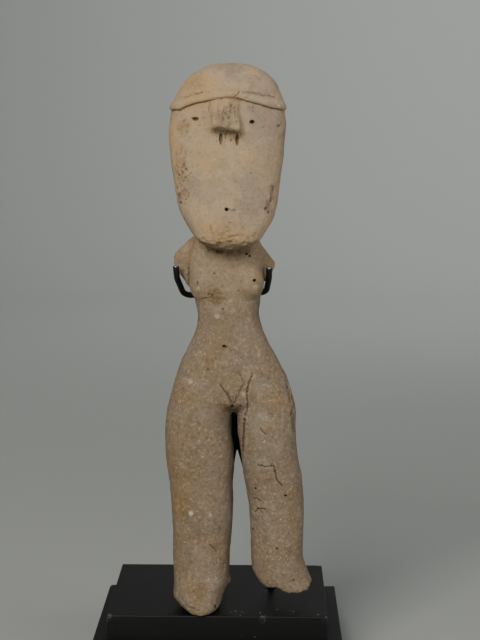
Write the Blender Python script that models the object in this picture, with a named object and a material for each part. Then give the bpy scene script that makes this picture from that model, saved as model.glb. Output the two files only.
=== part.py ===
"""Clay figurine held upright by a cradle of two rods on a stepped black base.

Metres, +Z up. The figure faces -Y, and the origin is under the middle of the base.
Left and right are the viewer's, who stands in front of the face.
"""

import math
from collections import namedtuple

import bmesh
import bpy
import numpy as np
from mathutils import Matrix, Vector

# Base: a block on a wider block
UPPER_BLOCK_WIDTH = 0.087
UPPER_BLOCK_DEPTH = 0.0675
UPPER_BLOCK_HEIGHT = 0.011
LOWER_BLOCK_HEIGHT = 0.015
STEP_MARGIN = 0.006
BLOCK_EDGE_ROUND = 0.0005
BLOCK_EDGE_SEGMENTS = 3

# Cradle: two rods, side by side above the fork, each ending in a hook under an arm stub
ROD_DIAMETER = 0.0024
ROD_PAIR_GAP = 0.0003
ROD_HOLE_CLEARANCE = 0.0003
ROD_HOLE_FLOOR = 0.003
ROD_HOLE_SIDES = 24
ROD_CLEAR_OF_CLAY = 0.0006
ROD_FOOT_STRAIGHT = 0.014
ROD_BEND_RADIUS = 0.0045
ROD_BEND_STEP = math.radians(15)
ROD_BEVEL_RESOLUTION = 3

# Gap that is left between two pieces that rest on each other
TOUCH_GAP = 0.0003

# Figure: its proportions are written in units, of which its height holds FIGURE_UNITS_TALL
FIGURE_HEIGHT = 0.2147
FIGURE_UNITS_TALL = 214.7
FIGURE_UNIT = FIGURE_HEIGHT / FIGURE_UNITS_TALL
# How far ahead of the base's middle the line lies from which the figure's y is measured
FIGURE_AHEAD = 0.0012
CLAY_VOXEL = 0.85
CLAY_SMOOTHING_ROUNDS = 6
CLAY_FACE_SHARE = 0.075
RING_POINTS = 48
RING_SPACING = 1.6
DOME_RINGS = 6
BACK_SQUARENESS = 2.1

BASE_TOP = LOWER_BLOCK_HEIGHT + TOUCH_GAP + UPPER_BLOCK_HEIGHT
SOLE_LEVEL = BASE_TOP + TOUCH_GAP
ROD_RADIUS = ROD_DIAMETER / 2
ROD_STAND_OFF = ROD_RADIUS + ROD_CLEAR_OF_CLAY

# A level cut through the clay: its middle, its half width, its depth ahead of and behind the middle,
# and how square its front corners are (2 is round, 1 is a point)
Cut = namedtuple("Cut", "height x y half_width front back squareness")

# A closed body through such cuts: over which heights its two ends round off, and how square the top is
Loft = namedtuple("Loft", "cuts bottom_dome top_dome top_squareness")

HEAD = Loft(
    (
        Cut(142.9, 4.3, -24.0, 9.3, 8.0, 5.5, 2.2),
        Cut(149, 4.0, -22.3, 13.6, 10.0, 8.0, 2.3),
        Cut(153, 4.0, -21.2, 16.1, 11.0, 9.5, 2.4),
        Cut(158, 3.8, -19.8, 18.5, 11.8, 11.2, 2.4),
        Cut(168, 3.3, -17.2, 20.4, 12.6, 13.4, 2.5),
        Cut(181, 3.1, -15.2, 22.0, 12.8, 14.4, 2.5),
        Cut(194, 3.6, -13.6, 22.2, 12.6, 14.2, 2.5),
        Cut(201, 4.0, -12.9, 20.3, 12.2, 13.8, 2.4),
        Cut(FIGURE_UNITS_TALL, 4.5, -12.0, 20.1, 11.6, 13.2, 2.3),
    ),
    bottom_dome=5.2,
    top_dome=14.2,
    top_squareness=2.0,
)

TRUNK = Loft(
    (
        Cut(78.2, 5.2, -14.6, 22.4, 11.0, 11.5, 2.2),
        Cut(84, 5.4, -14.5, 23.8, 11.6, 12.0, 2.3),
        Cut(91, 5.0, -14.0, 22.0, 11.4, 11.0, 2.3),
        Cut(98, 4.6, -13.5, 19.2, 10.6, 9.8, 2.3),
        Cut(105, 4.3, -13.0, 15.6, 9.6, 8.6, 2.3),
        Cut(111, 4.3, -12.6, 13.3, 8.8, 7.8, 2.2),
        Cut(117, 3.9, -12.3, 12.2, 8.4, 7.2, 2.2),
        Cut(123, 3.4, -12.0, 13.1, 8.6, 7.0, 2.3),
        Cut(130, 2.9, -11.7, 14.0, 9.0, 7.0, 2.4),
        Cut(137, 2.6, -11.3, 14.4, 8.6, 7.2, 2.4),
        Cut(143, 2.8, -11.0, 13.4, 7.8, 7.4, 2.3),
        Cut(149, 3.3, -10.8, 12.5, 7.2, 7.2, 2.1),
        Cut(158, 3.4, -12.0, 13.2, 7.0, 7.4, 2.0),
        Cut(167, 3.3, -13.4, 15.0, 7.0, 8.2, 2.0),
        Cut(178, 3.2, -14.6, 16.0, 7.0, 8.0, 2.0),
    ),
    bottom_dome=7.0,
    top_dome=9.0,
    top_squareness=2.0,
)

LEFT_LEG = Loft(
    (
        Cut(-2, -6.5, -19.2, 4.6, 12.0, 9.0, 2.0),
        Cut(0, -6.5, -19.2, 6.3, 15.4, 11.0, 2.1),
        Cut(1, -6.7, -19.0, 7.6, 15.7, 11.6, 2.1),
        Cut(2.7, -7.2, -18.8, 8.9, 15.8, 12.0, 2.1),
        Cut(4.5, -7.8, -18.4, 9.8, 15.4, 12.0, 2.1),
        Cut(8.5, -6.9, -17.4, 10.7, 14.2, 11.0, 2.1),
        Cut(13, -6.6, -16.8, 11.1, 12.2, 10.3, 2.1),
        Cut(23, -6.6, -17.0, 11.3, 10.4, 10.3, 2.1),
        Cut(38, -6.3, -16.9, 12.1, 10.8, 10.6, 2.1),
        Cut(50, -6.7, -16.4, 12.8, 11.4, 11.0, 2.1),
        Cut(60, -7.3, -16.0, 13.5, 12.0, 11.4, 2.2),
        Cut(70, -8.1, -15.5, 13.2, 12.2, 11.6, 2.2),
        Cut(80, -7.7, -15.0, 12.5, 11.8, 11.4, 2.1),
        Cut(96, -4.5, -14.0, 10.5, 10.0, 10.0, 2.0),
    ),
    bottom_dome=1.0,
    top_dome=8.0,
    top_squareness=2.0,
)

RIGHT_LEG = Loft(
    (
        Cut(1, 29.0, -18.8, 10.8, 8.4, 8.4, 2.0),
        Cut(8, 27.2, -18.2, 11.0, 9.2, 9.0, 2.0),
        Cut(12.5, 25.3, -17.5, 11.1, 9.9, 9.7, 2.1),
        Cut(18, 23.8, -17.0, 10.6, 10.1, 10.0, 2.1),
        Cut(28, 23.5, -16.9, 10.5, 10.2, 10.2, 2.1),
        Cut(43, 22.9, -16.5, 11.1, 10.8, 10.6, 2.1),
        Cut(53, 21.5, -16.2, 11.7, 11.3, 11.0, 2.1),
        Cut(61, 20.2, -15.9, 11.2, 11.7, 11.2, 2.2),
        Cut(70, 19.2, -15.5, 11.3, 12.0, 11.4, 2.2),
        Cut(80, 18.8, -15.0, 11.6, 11.6, 11.2, 2.1),
        Cut(96, 13.5, -14.0, 10.2, 10.0, 10.0, 2.0),
    ),
    bottom_dome=1.0,
    top_dome=8.0,
    top_squareness=2.0,
)

LEFT_ARM_STUB = Loft(
    (
        Cut(125.3, -10.2, -6.6, 2.0, 2.5, 2.6, 2.0),
        Cut(130, -10.1, -6.6, 4.5, 2.7, 2.8, 2.0),
        Cut(135.5, -10.7, -6.7, 7.6, 2.8, 3.0, 2.0),
        Cut(140, -10.1, -7.0, 7.4, 3.2, 3.4, 2.0),
        Cut(143.5, -8.5, -7.4, 5.8, 3.6, 3.8, 2.0),
        Cut(148, -5.7, -8.2, 4.1, 3.6, 4.0, 2.0),
    ),
    bottom_dome=2.5,
    top_dome=3.0,
    top_squareness=2.0,
)

RIGHT_ARM_STUB = Loft(
    (
        Cut(127.2, 15.0, -6.6, 2.0, 2.5, 2.6, 2.0),
        Cut(131, 15.4, -6.6, 4.6, 2.7, 2.8, 2.0),
        Cut(136, 15.9, -6.7, 6.5, 2.8, 3.0, 2.0),
        Cut(140, 14.2, -7.0, 5.4, 3.2, 3.4, 2.0),
        Cut(144, 12.1, -7.4, 4.5, 3.6, 3.8, 2.0),
        Cut(149.5, 11.6, -8.2, 4.2, 3.6, 4.0, 2.0),
    ),
    bottom_dome=2.5,
    top_dome=3.0,
    top_squareness=2.0,
)

# Rounded lumps of clay: middle and radii. The knob stands out at the left foot's inner side.
Lump = namedtuple("Lump", "x y z radius_x radius_y radius_z")
BREASTS = (
    Lump(-5.2, -14.2, 129.0, 6.4, 7.5, 8.0),
    Lump(11.4, -14.2, 129.5, 6.4, 8.0, 8.2),
)
BUTTOCKS = (
    Lump(-6.6, -10.4, 85.0, 11.0, 8.8, 14.0),
    Lump(17.2, -10.4, 85.0, 11.0, 8.8, 14.0),
)
FOOT_KNOB = Lump(3.5, -17.5, 9.9, 2.0, 3.6, 1.8)

# Headband: a strip round the head whose lower lip stands out and climbs from both sides to the nose
BAND_UPPER_EDGE = 202.6
BAND_LOWER_EDGE_AT_NOSE = 201.2
BAND_FALL = 0.26
BAND_BACK_FALL = 4.6
BAND_PROUD = 1.0
BAND_ROOT_DEPTH = 2.0
BAND_POINTS = 72

# Nose: a wedge whose lower edge stands out from the face and sinks to the right
NOSE_TOP = 201.5
NOSE_ROOT_BOTTOM = 185.0
NOSE_BOTTOM_LEFT_LEVEL = 190.2
NOSE_BOTTOM_RIGHT_LEVEL = 188.8
NOSE_TOP_LEFT = -2.2
NOSE_TOP_RIGHT = 7.2
NOSE_BOTTOM_LEFT = -2.4
NOSE_BOTTOM_RIGHT = 8.8
NOSE_TOP_PROUD = 1.4
NOSE_BOTTOM_PROUD = 4.8
NOSE_ROOT_DEPTH = 4.0

# Break that took the right foot's sole away: its profile seen from the front, as (x, height)
STUMP_BREAK = (
    (8, 21), (15.0, 13.0), (17.2, 10.2), (19.8, 8.8), (23.4, 9.2), (26, 7.9), (29, 7.0), (32.5, 6.8),
    (35.6, 7.8), (37.6, 9.8), (44, 19),
)
STUMP_BREAK_REACH = 32.0
STUMP_BREAK_DEPTH = 12.0

# Holes punched in the wet clay: in which body, where, how wide, how tall and how deep
Punch = namedtuple("Punch", "name loft x z width height depth")
PUNCHES = (
    Punch("left_eye", HEAD, -8.2, 193.3, 2.2, 1.5, 2.2),
    Punch("right_eye", HEAD, 12.9, 192.2, 1.9, 1.5, 2.2),
    Punch("left_nostril", HEAD, 1.3, 185.6, 1.2, 4.4, 1.4),
    Punch("right_nostril", HEAD, 7.3, 185.3, 1.2, 4.4, 1.4),
    Punch("mouth", HEAD, 3.6, 159.0, 1.5, 1.4, 2.4),
    Punch("navel", TRUNK, 2.4, 105.4, 1.5, 1.3, 2.2),
    Punch("right_nipple", TRUNK, 13.7, 131.4, 1.3, 1.3, 0.4),
)
PUNCH_SIDES = 10
PUNCH_LEAD = 6.0
PUNCH_TIP_SHARE = 0.6

# Cradle route, in figure units: the fork between the legs, the bars behind the back, and for each hook
# the clay that it goes round, with the direction in which the rod stands off it
FORK_X = 7.1
FORK_LEVEL = 59.0
BACK_Y = -0.4
SHOULDER_BEND_LEVEL = 123.2
Rest = namedtuple("Rest", "x y z out_x out_y out_z")
LEFT_FOOT_X = -1.5
LEFT_HOOK = (
    Rest(-13.0, -4.2, 124.4, -0.6, 0.1, -0.8),
    Rest(-16.0, -9.2, 130.8, -0.3, -0.9, -0.1),
    Rest(-16.9, -10.9, 135.6, 0.0, -1.0, 0.0),
)
RIGHT_FOOT_X = 21.3
RIGHT_HOOK = (
    Rest(17.6, -4.2, 125.8, 0.6, 0.1, -0.8),
    Rest(19.2, -8.9, 131.0, 0.3, -0.9, -0.1),
    Rest(19.8, -10.7, 135.0, 0.0, -1.0, 0.0),
)

CLAY_COLOUR = (0.28, 0.215, 0.16)
CLAY_ROUGHNESS = 0.9
ROD_COLOUR = (0.012, 0.012, 0.014)
ROD_ROUGHNESS = 0.45
ROD_METALLIC = 0.3
BLOCK_COLOUR = (0.010, 0.010, 0.012)
BLOCK_ROUGHNESS = 0.4


def clear_scene():
    for obj in list(bpy.data.objects):
        bpy.data.objects.remove(obj, do_unlink=True)


def make_material(name, colour, roughness, metallic=0.0):
    made = bpy.data.materials.new(name)
    made.use_nodes = True
    shader = made.node_tree.nodes["Principled BSDF"]
    shader.inputs["Base Color"].default_value = (*colour, 1)
    shader.inputs["Roughness"].default_value = roughness
    shader.inputs["Metallic"].default_value = metallic
    return made


def place(name, data, material=None):
    """Put a mesh or a curve into the scene as a named object."""
    obj = bpy.data.objects.new(name, data)
    bpy.context.scene.collection.objects.link(obj)
    if material:
        data.materials.append(material)
    return obj


def place_bmesh(name, shape, material=None):
    """Turn a finished bmesh into a named object, with its faces pointing out."""
    bmesh.ops.recalc_face_normals(shape, faces=shape.faces)
    mesh = bpy.data.meshes.new(name)
    shape.to_mesh(mesh)
    shape.free()
    return place(name, mesh, material)


def cut_away(obj, cutter):
    """Subtract a helper object, which is then hidden."""
    cutter.hide_render = True
    cutter.display_type = "WIRE"
    cut = obj.modifiers.new(cutter.name, "BOOLEAN")
    cut.operation = "DIFFERENCE"
    cut.solver = "EXACT"
    cut.object = cutter


def figure_matrix():
    """From figure units to metres in the part's frame."""
    return Matrix.Translation((0, -FIGURE_AHEAD, SOLE_LEVEL)) @ Matrix.Scale(FIGURE_UNIT, 4)


def smooth_through(knots, values, at):
    """Values on a smooth curve through the given ones (cubic Hermite with central slopes)."""
    slopes = np.gradient(values, knots, axis=0)
    span = np.clip(np.searchsorted(knots, at, side="right") - 1, 0, len(knots) - 2)
    step = (knots[span + 1] - knots[span])[:, None]
    t = (at - knots[span])[:, None] / step
    start = (1 + 2 * t) * (1 - t) ** 2 * values[span] + t * (1 - t) ** 2 * step * slopes[span]
    end = t**2 * (3 - 2 * t) * values[span + 1] - t**2 * (1 - t) * step * slopes[span + 1]
    return start + end


def dome_share(into_dome, squareness):
    """Share of its width that a loft keeps at a share 0 to 1 of the way into a dome."""
    return (1 - np.clip(into_dome, 0, 1) ** squareness) ** (1 / squareness)


def cuts_at(loft, heights):
    """Interpolated cuts, one row of (x, y, half_width, front, back, squareness) for each height."""
    table = np.array(loft.cuts, float)
    bottom, top = table[0, 0], table[-1, 0]
    rows = smooth_through(table[:, 0], table[:, 1:], heights)
    share = dome_share((bottom + loft.bottom_dome - heights) / loft.bottom_dome, 2)
    share = share * dome_share((heights - top + loft.top_dome) / loft.top_dome, loft.top_squareness)
    rows[:, 2:5] *= share[:, None]
    return rows


def ring_point(row, angle):
    """The place on one cut at an angle, and the direction straight out of it."""
    x, y, half_width, front, back, squareness = row
    across, along = math.cos(angle), math.sin(angle)
    depth, power = (front, 2 / squareness) if along < 0 else (back, 2 / BACK_SQUARENESS)
    place_x = x + half_width * math.copysign(abs(across) ** power, across)
    place_y = y + depth * math.copysign(abs(along) ** power, along)
    out = Vector((across * depth, along * half_width, 0)).normalized()
    return Vector((place_x, place_y, 0)), out


def front_of(loft, x, height):
    """Y of a loft's front surface at one place."""
    middle_x, middle_y, half_width, front, _, squareness = cuts_at(loft, np.array([height]))[0]
    share = min(abs(x - middle_x) / half_width, 1)
    return middle_y - front * (1 - share**squareness) ** (1 / squareness)


def loft_heights(loft):
    """Ring heights: evenly spaced along the sides, and by equal angles over each dome."""
    bottom, top = loft.cuts[0].height, loft.cuts[-1].height
    rise = 1 - np.cos(np.linspace(0, math.pi / 2, DOME_RINGS + 1)[1:])
    low, high = bottom + loft.bottom_dome * rise, top - loft.top_dome * rise[::-1]
    count = max(2, round((high[0] - low[-1]) / RING_SPACING))
    return np.concatenate([low[:-1], np.linspace(low[-1], high[0], count), high[1:]])


def bridge_rings(clay, rings, closed=False):
    """Join each ring of vertices to the next, and the last to the first if closed."""
    pairs = zip(rings, rings[1:] + rings[:1]) if closed else zip(rings, rings[1:])
    for lower, upper in pairs:
        for i, corner in enumerate(lower):
            j = (i + 1) % len(lower)
            clay.faces.new((corner, lower[j], upper[j], upper[i]))


def add_loft(clay, loft):
    """Add a closed body whose level rings are superellipses through the loft's cuts."""
    heights = loft_heights(loft)
    angles = np.linspace(0, 2 * math.pi, RING_POINTS, endpoint=False)
    rings = []
    for height, row in zip(heights, cuts_at(loft, heights)):
        lift = Vector((0, 0, height))
        rings.append([clay.verts.new(ring_point(row, angle)[0] + lift) for angle in angles])
    bridge_rings(clay, rings)
    for ring, end in ((rings[0], loft.cuts[0]), (rings[-1], loft.cuts[-1])):
        pole = clay.verts.new((end.x, end.y, end.height))
        for i, corner in enumerate(ring):
            clay.faces.new((corner, ring[(i + 1) % len(ring)], pole))


def add_lump(clay, lump):
    """Add an ellipsoid."""
    radii = Matrix.Diagonal((lump.radius_x, lump.radius_y, lump.radius_z, 1))
    middle = Matrix.Translation((lump.x, lump.y, lump.z))
    bmesh.ops.create_icosphere(clay, subdivisions=4, radius=1, matrix=middle @ radii)


def band_lower_edge(x, behind):
    """Height of the headband's lower lip: it falls from the nose to both sides, and is level behind."""
    nose_x = (NOSE_TOP_LEFT + NOSE_TOP_RIGHT) / 2
    fall = BAND_BACK_FALL if behind else BAND_FALL * abs(x - nose_x)
    return BAND_LOWER_EDGE_AT_NOSE - min(fall, BAND_BACK_FALL)


def add_headband(clay):
    """Add a closed strip of wedge section round the head, widest at its proud lower lip."""
    upper_row = cuts_at(HEAD, np.array([BAND_UPPER_EDGE]))[0]
    rings = []
    for angle in np.linspace(0, 2 * math.pi, BAND_POINTS, endpoint=False):
        upper, out = ring_point(upper_row, angle)
        lower_edge = band_lower_edge(upper.x, math.sin(angle) > 0)
        lower, _ = ring_point(cuts_at(HEAD, np.array([lower_edge]))[0], angle)
        upper.z, lower.z = BAND_UPPER_EDGE, lower_edge
        corners = (
            lower + out * BAND_PROUD,
            upper + out * BAND_PROUD / 4,
            upper - out * BAND_ROOT_DEPTH,
            lower - out * BAND_ROOT_DEPTH,
        )
        rings.append([clay.verts.new(corner) for corner in corners])
    bridge_rings(clay, rings, closed=True)


def add_nose(clay):
    """Add the wedge: a prism of eight corners, rooted in the face."""
    top_face = front_of(HEAD, (NOSE_TOP_LEFT + NOSE_TOP_RIGHT) / 2, NOSE_TOP)
    low_face = front_of(HEAD, (NOSE_BOTTOM_LEFT + NOSE_BOTTOM_RIGHT) / 2, NOSE_BOTTOM_LEFT_LEVEL)
    top = (
        (NOSE_TOP_LEFT, top_face - NOSE_TOP_PROUD, NOSE_TOP),
        (NOSE_TOP_RIGHT, top_face - NOSE_TOP_PROUD, NOSE_TOP),
        (NOSE_TOP_RIGHT, top_face + NOSE_ROOT_DEPTH, NOSE_TOP),
        (NOSE_TOP_LEFT, top_face + NOSE_ROOT_DEPTH, NOSE_TOP),
    )
    bottom = (
        (NOSE_BOTTOM_LEFT, low_face - NOSE_BOTTOM_PROUD, NOSE_BOTTOM_LEFT_LEVEL),
        (NOSE_BOTTOM_RIGHT, low_face - NOSE_BOTTOM_PROUD, NOSE_BOTTOM_RIGHT_LEVEL),
        (NOSE_BOTTOM_RIGHT, low_face + NOSE_ROOT_DEPTH, NOSE_ROOT_BOTTOM),
        (NOSE_BOTTOM_LEFT, low_face + NOSE_ROOT_DEPTH, NOSE_ROOT_BOTTOM),
    )
    rings = [[clay.verts.new(corner) for corner in ring] for ring in (top, bottom)]
    bridge_rings(clay, rings)
    for ring in rings:
        clay.faces.new(ring)


def punch_cutter(punch):
    """A tapered peg pushed in from the front, whose tip ends at the punch's depth."""
    tool = bmesh.new()
    length = punch.depth + PUNCH_LEAD
    bmesh.ops.create_cone(
        tool, cap_ends=True, segments=PUNCH_SIDES, radius1=PUNCH_TIP_SHARE / 2, radius2=1 / 2, depth=length
    )
    bmesh.ops.scale(tool, vec=(punch.width, punch.height, 1), verts=tool.verts)
    middle_y = front_of(punch.loft, punch.x, punch.z) + punch.depth - length / 2
    middle = Matrix.Translation((punch.x, middle_y, punch.z))
    where = figure_matrix() @ middle @ Matrix.Rotation(math.pi / 2, 4, "X")
    bmesh.ops.transform(tool, matrix=where, verts=tool.verts)
    return place_bmesh("cut_" + punch.name, tool)


def prism_cutter(name, profile, front, back):
    """A bar of the given (x, height) profile that runs from front to back."""
    tool = bmesh.new()
    ends = [[tool.verts.new((x, y, height)) for x, height in profile] for y in (front, back)]
    bridge_rings(tool, ends)
    for end in ends:
        tool.faces.new(end)
    bmesh.ops.transform(tool, matrix=figure_matrix(), verts=tool.verts)
    return place_bmesh(name, tool)


def stump_cutter():
    """The clay that the right foot lost: everything under its broken edge."""
    floor = -STUMP_BREAK_DEPTH
    profile = ((STUMP_BREAK[0][0], floor), *STUMP_BREAK, (STUMP_BREAK[-1][0], floor))
    return prism_cutter("cut_stump", profile, -STUMP_BREAK_REACH, STUMP_BREAK_REACH)


def sole_cutter():
    """The table on which the left sole was pressed flat."""
    half, floor = FIGURE_UNITS_TALL / 2, -STUMP_BREAK_DEPTH
    return prism_cutter("cut_sole", ((-half, floor), (-half, 0), (half, 0), (half, floor)), -half, half)


def build_figurine(material):
    """Pile up the clay, work it into one skin, level the sole, break the stump and punch the holes."""
    clay = bmesh.new()
    for loft in (HEAD, TRUNK, LEFT_LEG, RIGHT_LEG, LEFT_ARM_STUB, RIGHT_ARM_STUB):
        add_loft(clay, loft)
    for lump in (*BREASTS, *BUTTOCKS, FOOT_KNOB):
        add_lump(clay, lump)
    add_headband(clay)
    add_nose(clay)
    bmesh.ops.transform(clay, matrix=figure_matrix(), verts=clay.verts)
    figurine = place_bmesh("clay_figurine", clay, material)

    skin = figurine.modifiers.new("one_skin", "REMESH")
    skin.mode = "VOXEL"
    skin.voxel_size = CLAY_VOXEL * FIGURE_UNIT
    skin.use_smooth_shade = True
    thumbed = figurine.modifiers.new("thumbed_joints", "SMOOTH")
    thumbed.factor = 0.5
    thumbed.iterations = CLAY_SMOOTHING_ROUNDS
    thinned = figurine.modifiers.new("thinned", "DECIMATE")
    thinned.ratio = CLAY_FACE_SHARE
    cut_away(figurine, sole_cutter())
    cut_away(figurine, stump_cutter())
    for punch in PUNCHES:
        cut_away(figurine, punch_cutter(punch))


def rod_y():
    """Y of the rods' axes behind the back."""
    return BACK_Y * FIGURE_UNIT + ROD_STAND_OFF - FIGURE_AHEAD


def rod_route(foot_x, side, hook):
    """Corners of a rod's axis, from its foot in the base to the hook's tip."""
    bar_x = FORK_X * FIGURE_UNIT + side * (ROD_DIAMETER + ROD_PAIR_GAP) / 2
    fork_z = SOLE_LEVEL + FORK_LEVEL * FIGURE_UNIT
    bend_z = SOLE_LEVEL + SHOULDER_BEND_LEVEL * FIGURE_UNIT
    route = [
        Vector((foot_x, rod_y(), LOWER_BLOCK_HEIGHT + 2 * TOUCH_GAP + ROD_HOLE_FLOOR)),
        Vector((foot_x, rod_y(), BASE_TOP + ROD_FOOT_STRAIGHT)),
        Vector((bar_x, rod_y(), fork_z)),
        Vector((bar_x, rod_y(), bend_z)),
    ]
    for rest in hook:
        clay_surface = figure_matrix() @ Vector((rest.x, rest.y, rest.z))
        out = Vector((rest.out_x, rest.out_y, rest.out_z)).normalized()
        route.append(clay_surface + out * ROD_STAND_OFF)
    return route


def bent_path(corners, radius):
    """Straight runs through the corners, with an arc of the radius, or as much as fits, at each."""
    path = [corners[0]]
    for before, corner, after in zip(corners, corners[1:], corners[2:]):
        back, ahead = before - corner, after - corner
        turn = math.pi - back.angle(ahead)
        if turn < ROD_BEND_STEP / 2:
            path.append(corner)
            continue
        reach = min(radius * math.tan(turn / 2), 0.48 * back.length, 0.48 * ahead.length)
        arc_radius = reach / math.tan(turn / 2)
        start, end = corner + back.normalized() * reach, corner + ahead.normalized() * reach
        towards = (back.normalized() + ahead.normalized()).normalized()
        centre = corner + towards * math.hypot(reach, arc_radius)
        steps = max(2, math.ceil(turn / ROD_BEND_STEP))
        first, last = start - centre, end - centre
        for i in range(steps + 1):
            share = i / steps
            weight_first = math.sin((1 - share) * turn) / math.sin(turn)
            weight_last = math.sin(share * turn) / math.sin(turn)
            path.append(centre + first * weight_first + last * weight_last)
    path.append(corners[-1])
    return path


def build_rod(name, foot_x, side, hook, material):
    """A round rod swept along its bent path."""
    curve = bpy.data.curves.new(name, "CURVE")
    curve.dimensions = "3D"
    curve.bevel_depth = ROD_RADIUS
    curve.bevel_resolution = ROD_BEVEL_RESOLUTION
    curve.use_fill_caps = True
    path = bent_path(rod_route(foot_x, side, hook), ROD_BEND_RADIUS)
    spline = curve.splines.new("POLY")
    spline.points.add(len(path) - 1)
    for point, place_on_axis in zip(spline.points, path):
        point.co = (*place_on_axis, 1)
    place(name, curve, material)


def build_block(name, width, depth, height, bottom, material):
    """A block with slightly rounded edges."""
    shape = bmesh.new()
    bmesh.ops.create_cube(shape, size=1)
    bmesh.ops.scale(shape, vec=(width, depth, height), verts=shape.verts)
    block = place_bmesh(name, shape, material)
    block.location.z = bottom + height / 2
    rounded = block.modifiers.new("rounded_edges", "BEVEL")
    rounded.width = BLOCK_EDGE_ROUND
    rounded.segments = BLOCK_EDGE_SEGMENTS
    return block


def drill_rod_hole(block, name, foot_x):
    """Cut the blind hole that a rod's foot stands in."""
    floor = LOWER_BLOCK_HEIGHT + TOUCH_GAP + ROD_HOLE_FLOOR
    radius = ROD_RADIUS + ROD_HOLE_CLEARANCE
    tool = bmesh.new()
    bmesh.ops.create_cone(
        tool, cap_ends=True, segments=ROD_HOLE_SIDES, radius1=radius, radius2=radius, depth=UPPER_BLOCK_HEIGHT
    )
    cutter = place_bmesh(name, tool)
    cutter.location = (foot_x, rod_y(), floor + UPPER_BLOCK_HEIGHT / 2)
    cut_away(block, cutter)


def build():
    clear_scene()
    clay = make_material("fired_clay", CLAY_COLOUR, CLAY_ROUGHNESS)
    rod_black = make_material("black_rod", ROD_COLOUR, ROD_ROUGHNESS, ROD_METALLIC)
    block_black = make_material("satin_black", BLOCK_COLOUR, BLOCK_ROUGHNESS)

    lower_width = UPPER_BLOCK_WIDTH + 2 * STEP_MARGIN
    lower_depth = UPPER_BLOCK_DEPTH + 2 * STEP_MARGIN
    upper_bottom = LOWER_BLOCK_HEIGHT + TOUCH_GAP
    build_block("lower_block", lower_width, lower_depth, LOWER_BLOCK_HEIGHT, 0, block_black)
    upper = build_block(
        "upper_block", UPPER_BLOCK_WIDTH, UPPER_BLOCK_DEPTH, UPPER_BLOCK_HEIGHT, upper_bottom, block_black
    )
    left_foot_x, right_foot_x = LEFT_FOOT_X * FIGURE_UNIT, RIGHT_FOOT_X * FIGURE_UNIT
    drill_rod_hole(upper, "cut_left_hole", left_foot_x)
    drill_rod_hole(upper, "cut_right_hole", right_foot_x)
    build_rod("left_rod", left_foot_x, -1, LEFT_HOOK, rod_black)
    build_rod("right_rod", right_foot_x, 1, RIGHT_HOOK, rod_black)
    build_figurine(clay)


build()
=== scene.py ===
"""Looks of the clay figurine on its rod cradle and stepped black base.

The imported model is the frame: it says where the figure stands, where the blocks lie and how large one unit of
the figure is. The figure's own sizes are in units of its height, about a millimetre each, measured from the
sole up; x is to the viewer's right and the face looks towards -y.
"""

from __future__ import annotations

import logging
import math
from dataclasses import dataclass, field
from enum import Enum

import bmesh
import bpy
import numpy as np
from mathutils import Matrix, Vector
from numpy.typing import NDArray

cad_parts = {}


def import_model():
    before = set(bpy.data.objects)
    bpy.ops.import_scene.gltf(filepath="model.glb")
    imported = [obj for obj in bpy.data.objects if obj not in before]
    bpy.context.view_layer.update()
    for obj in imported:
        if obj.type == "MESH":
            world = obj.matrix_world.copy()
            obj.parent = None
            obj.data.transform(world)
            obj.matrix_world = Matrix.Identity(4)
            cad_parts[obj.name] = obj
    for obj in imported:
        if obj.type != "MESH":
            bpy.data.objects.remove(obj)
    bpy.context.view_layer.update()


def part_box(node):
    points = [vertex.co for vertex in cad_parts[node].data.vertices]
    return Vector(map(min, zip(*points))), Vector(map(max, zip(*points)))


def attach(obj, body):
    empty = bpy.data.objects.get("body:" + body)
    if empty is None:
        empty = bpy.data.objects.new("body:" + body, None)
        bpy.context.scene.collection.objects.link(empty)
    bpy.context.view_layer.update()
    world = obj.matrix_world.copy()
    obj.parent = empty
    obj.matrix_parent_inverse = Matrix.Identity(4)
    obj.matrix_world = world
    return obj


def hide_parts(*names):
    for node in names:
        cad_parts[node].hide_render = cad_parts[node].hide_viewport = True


Array = NDArray[np.float64]
Colour = tuple[float, float, float]
Place = tuple[float, float]

LOG = logging.getLogger("clay_figurine")
MILLIMETRE = 0.001

NOISE_GAIN = 1.7
DOME_FIRST_ANGLE = 0.04
BALL_POLE_ANGLE = 0.05

FIGURE_UNITS_TALL = 214.6
FIGURE_AHEAD = 1.2 * MILLIMETRE
BACK_SQUARENESS = 2.1


def smooth_step(low: float, high: float, value: Array) -> Array:
    """Give 0 below low, 1 above high and 3t^2 - 2t^3 between them."""
    share = np.clip((value - low) / (high - low), 0, 1)
    return share * share * (3 - 2 * share)


def distance_to_route(places: Array, route: tuple[Place, ...]) -> Array:
    """Measure how far each place is from a route of straight runs.

    For each run the place is projected on it, with the foot kept between its ends, and the nearest foot counts.

    Args:
        places: (n, 2) places.
        route: corners of the route.

    Returns:
        (n,) distances.
    """
    corners = np.array(route, float)
    nearest = np.full(len(places), np.inf)
    for start, end in zip(corners[:-1], corners[1:]):
        run = end - start
        share = np.clip((places - start) @ run / (run @ run), 0, 1)
        nearest = np.minimum(nearest, np.linalg.norm(places - start - share[:, None] * run, axis=1))
    return nearest


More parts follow.
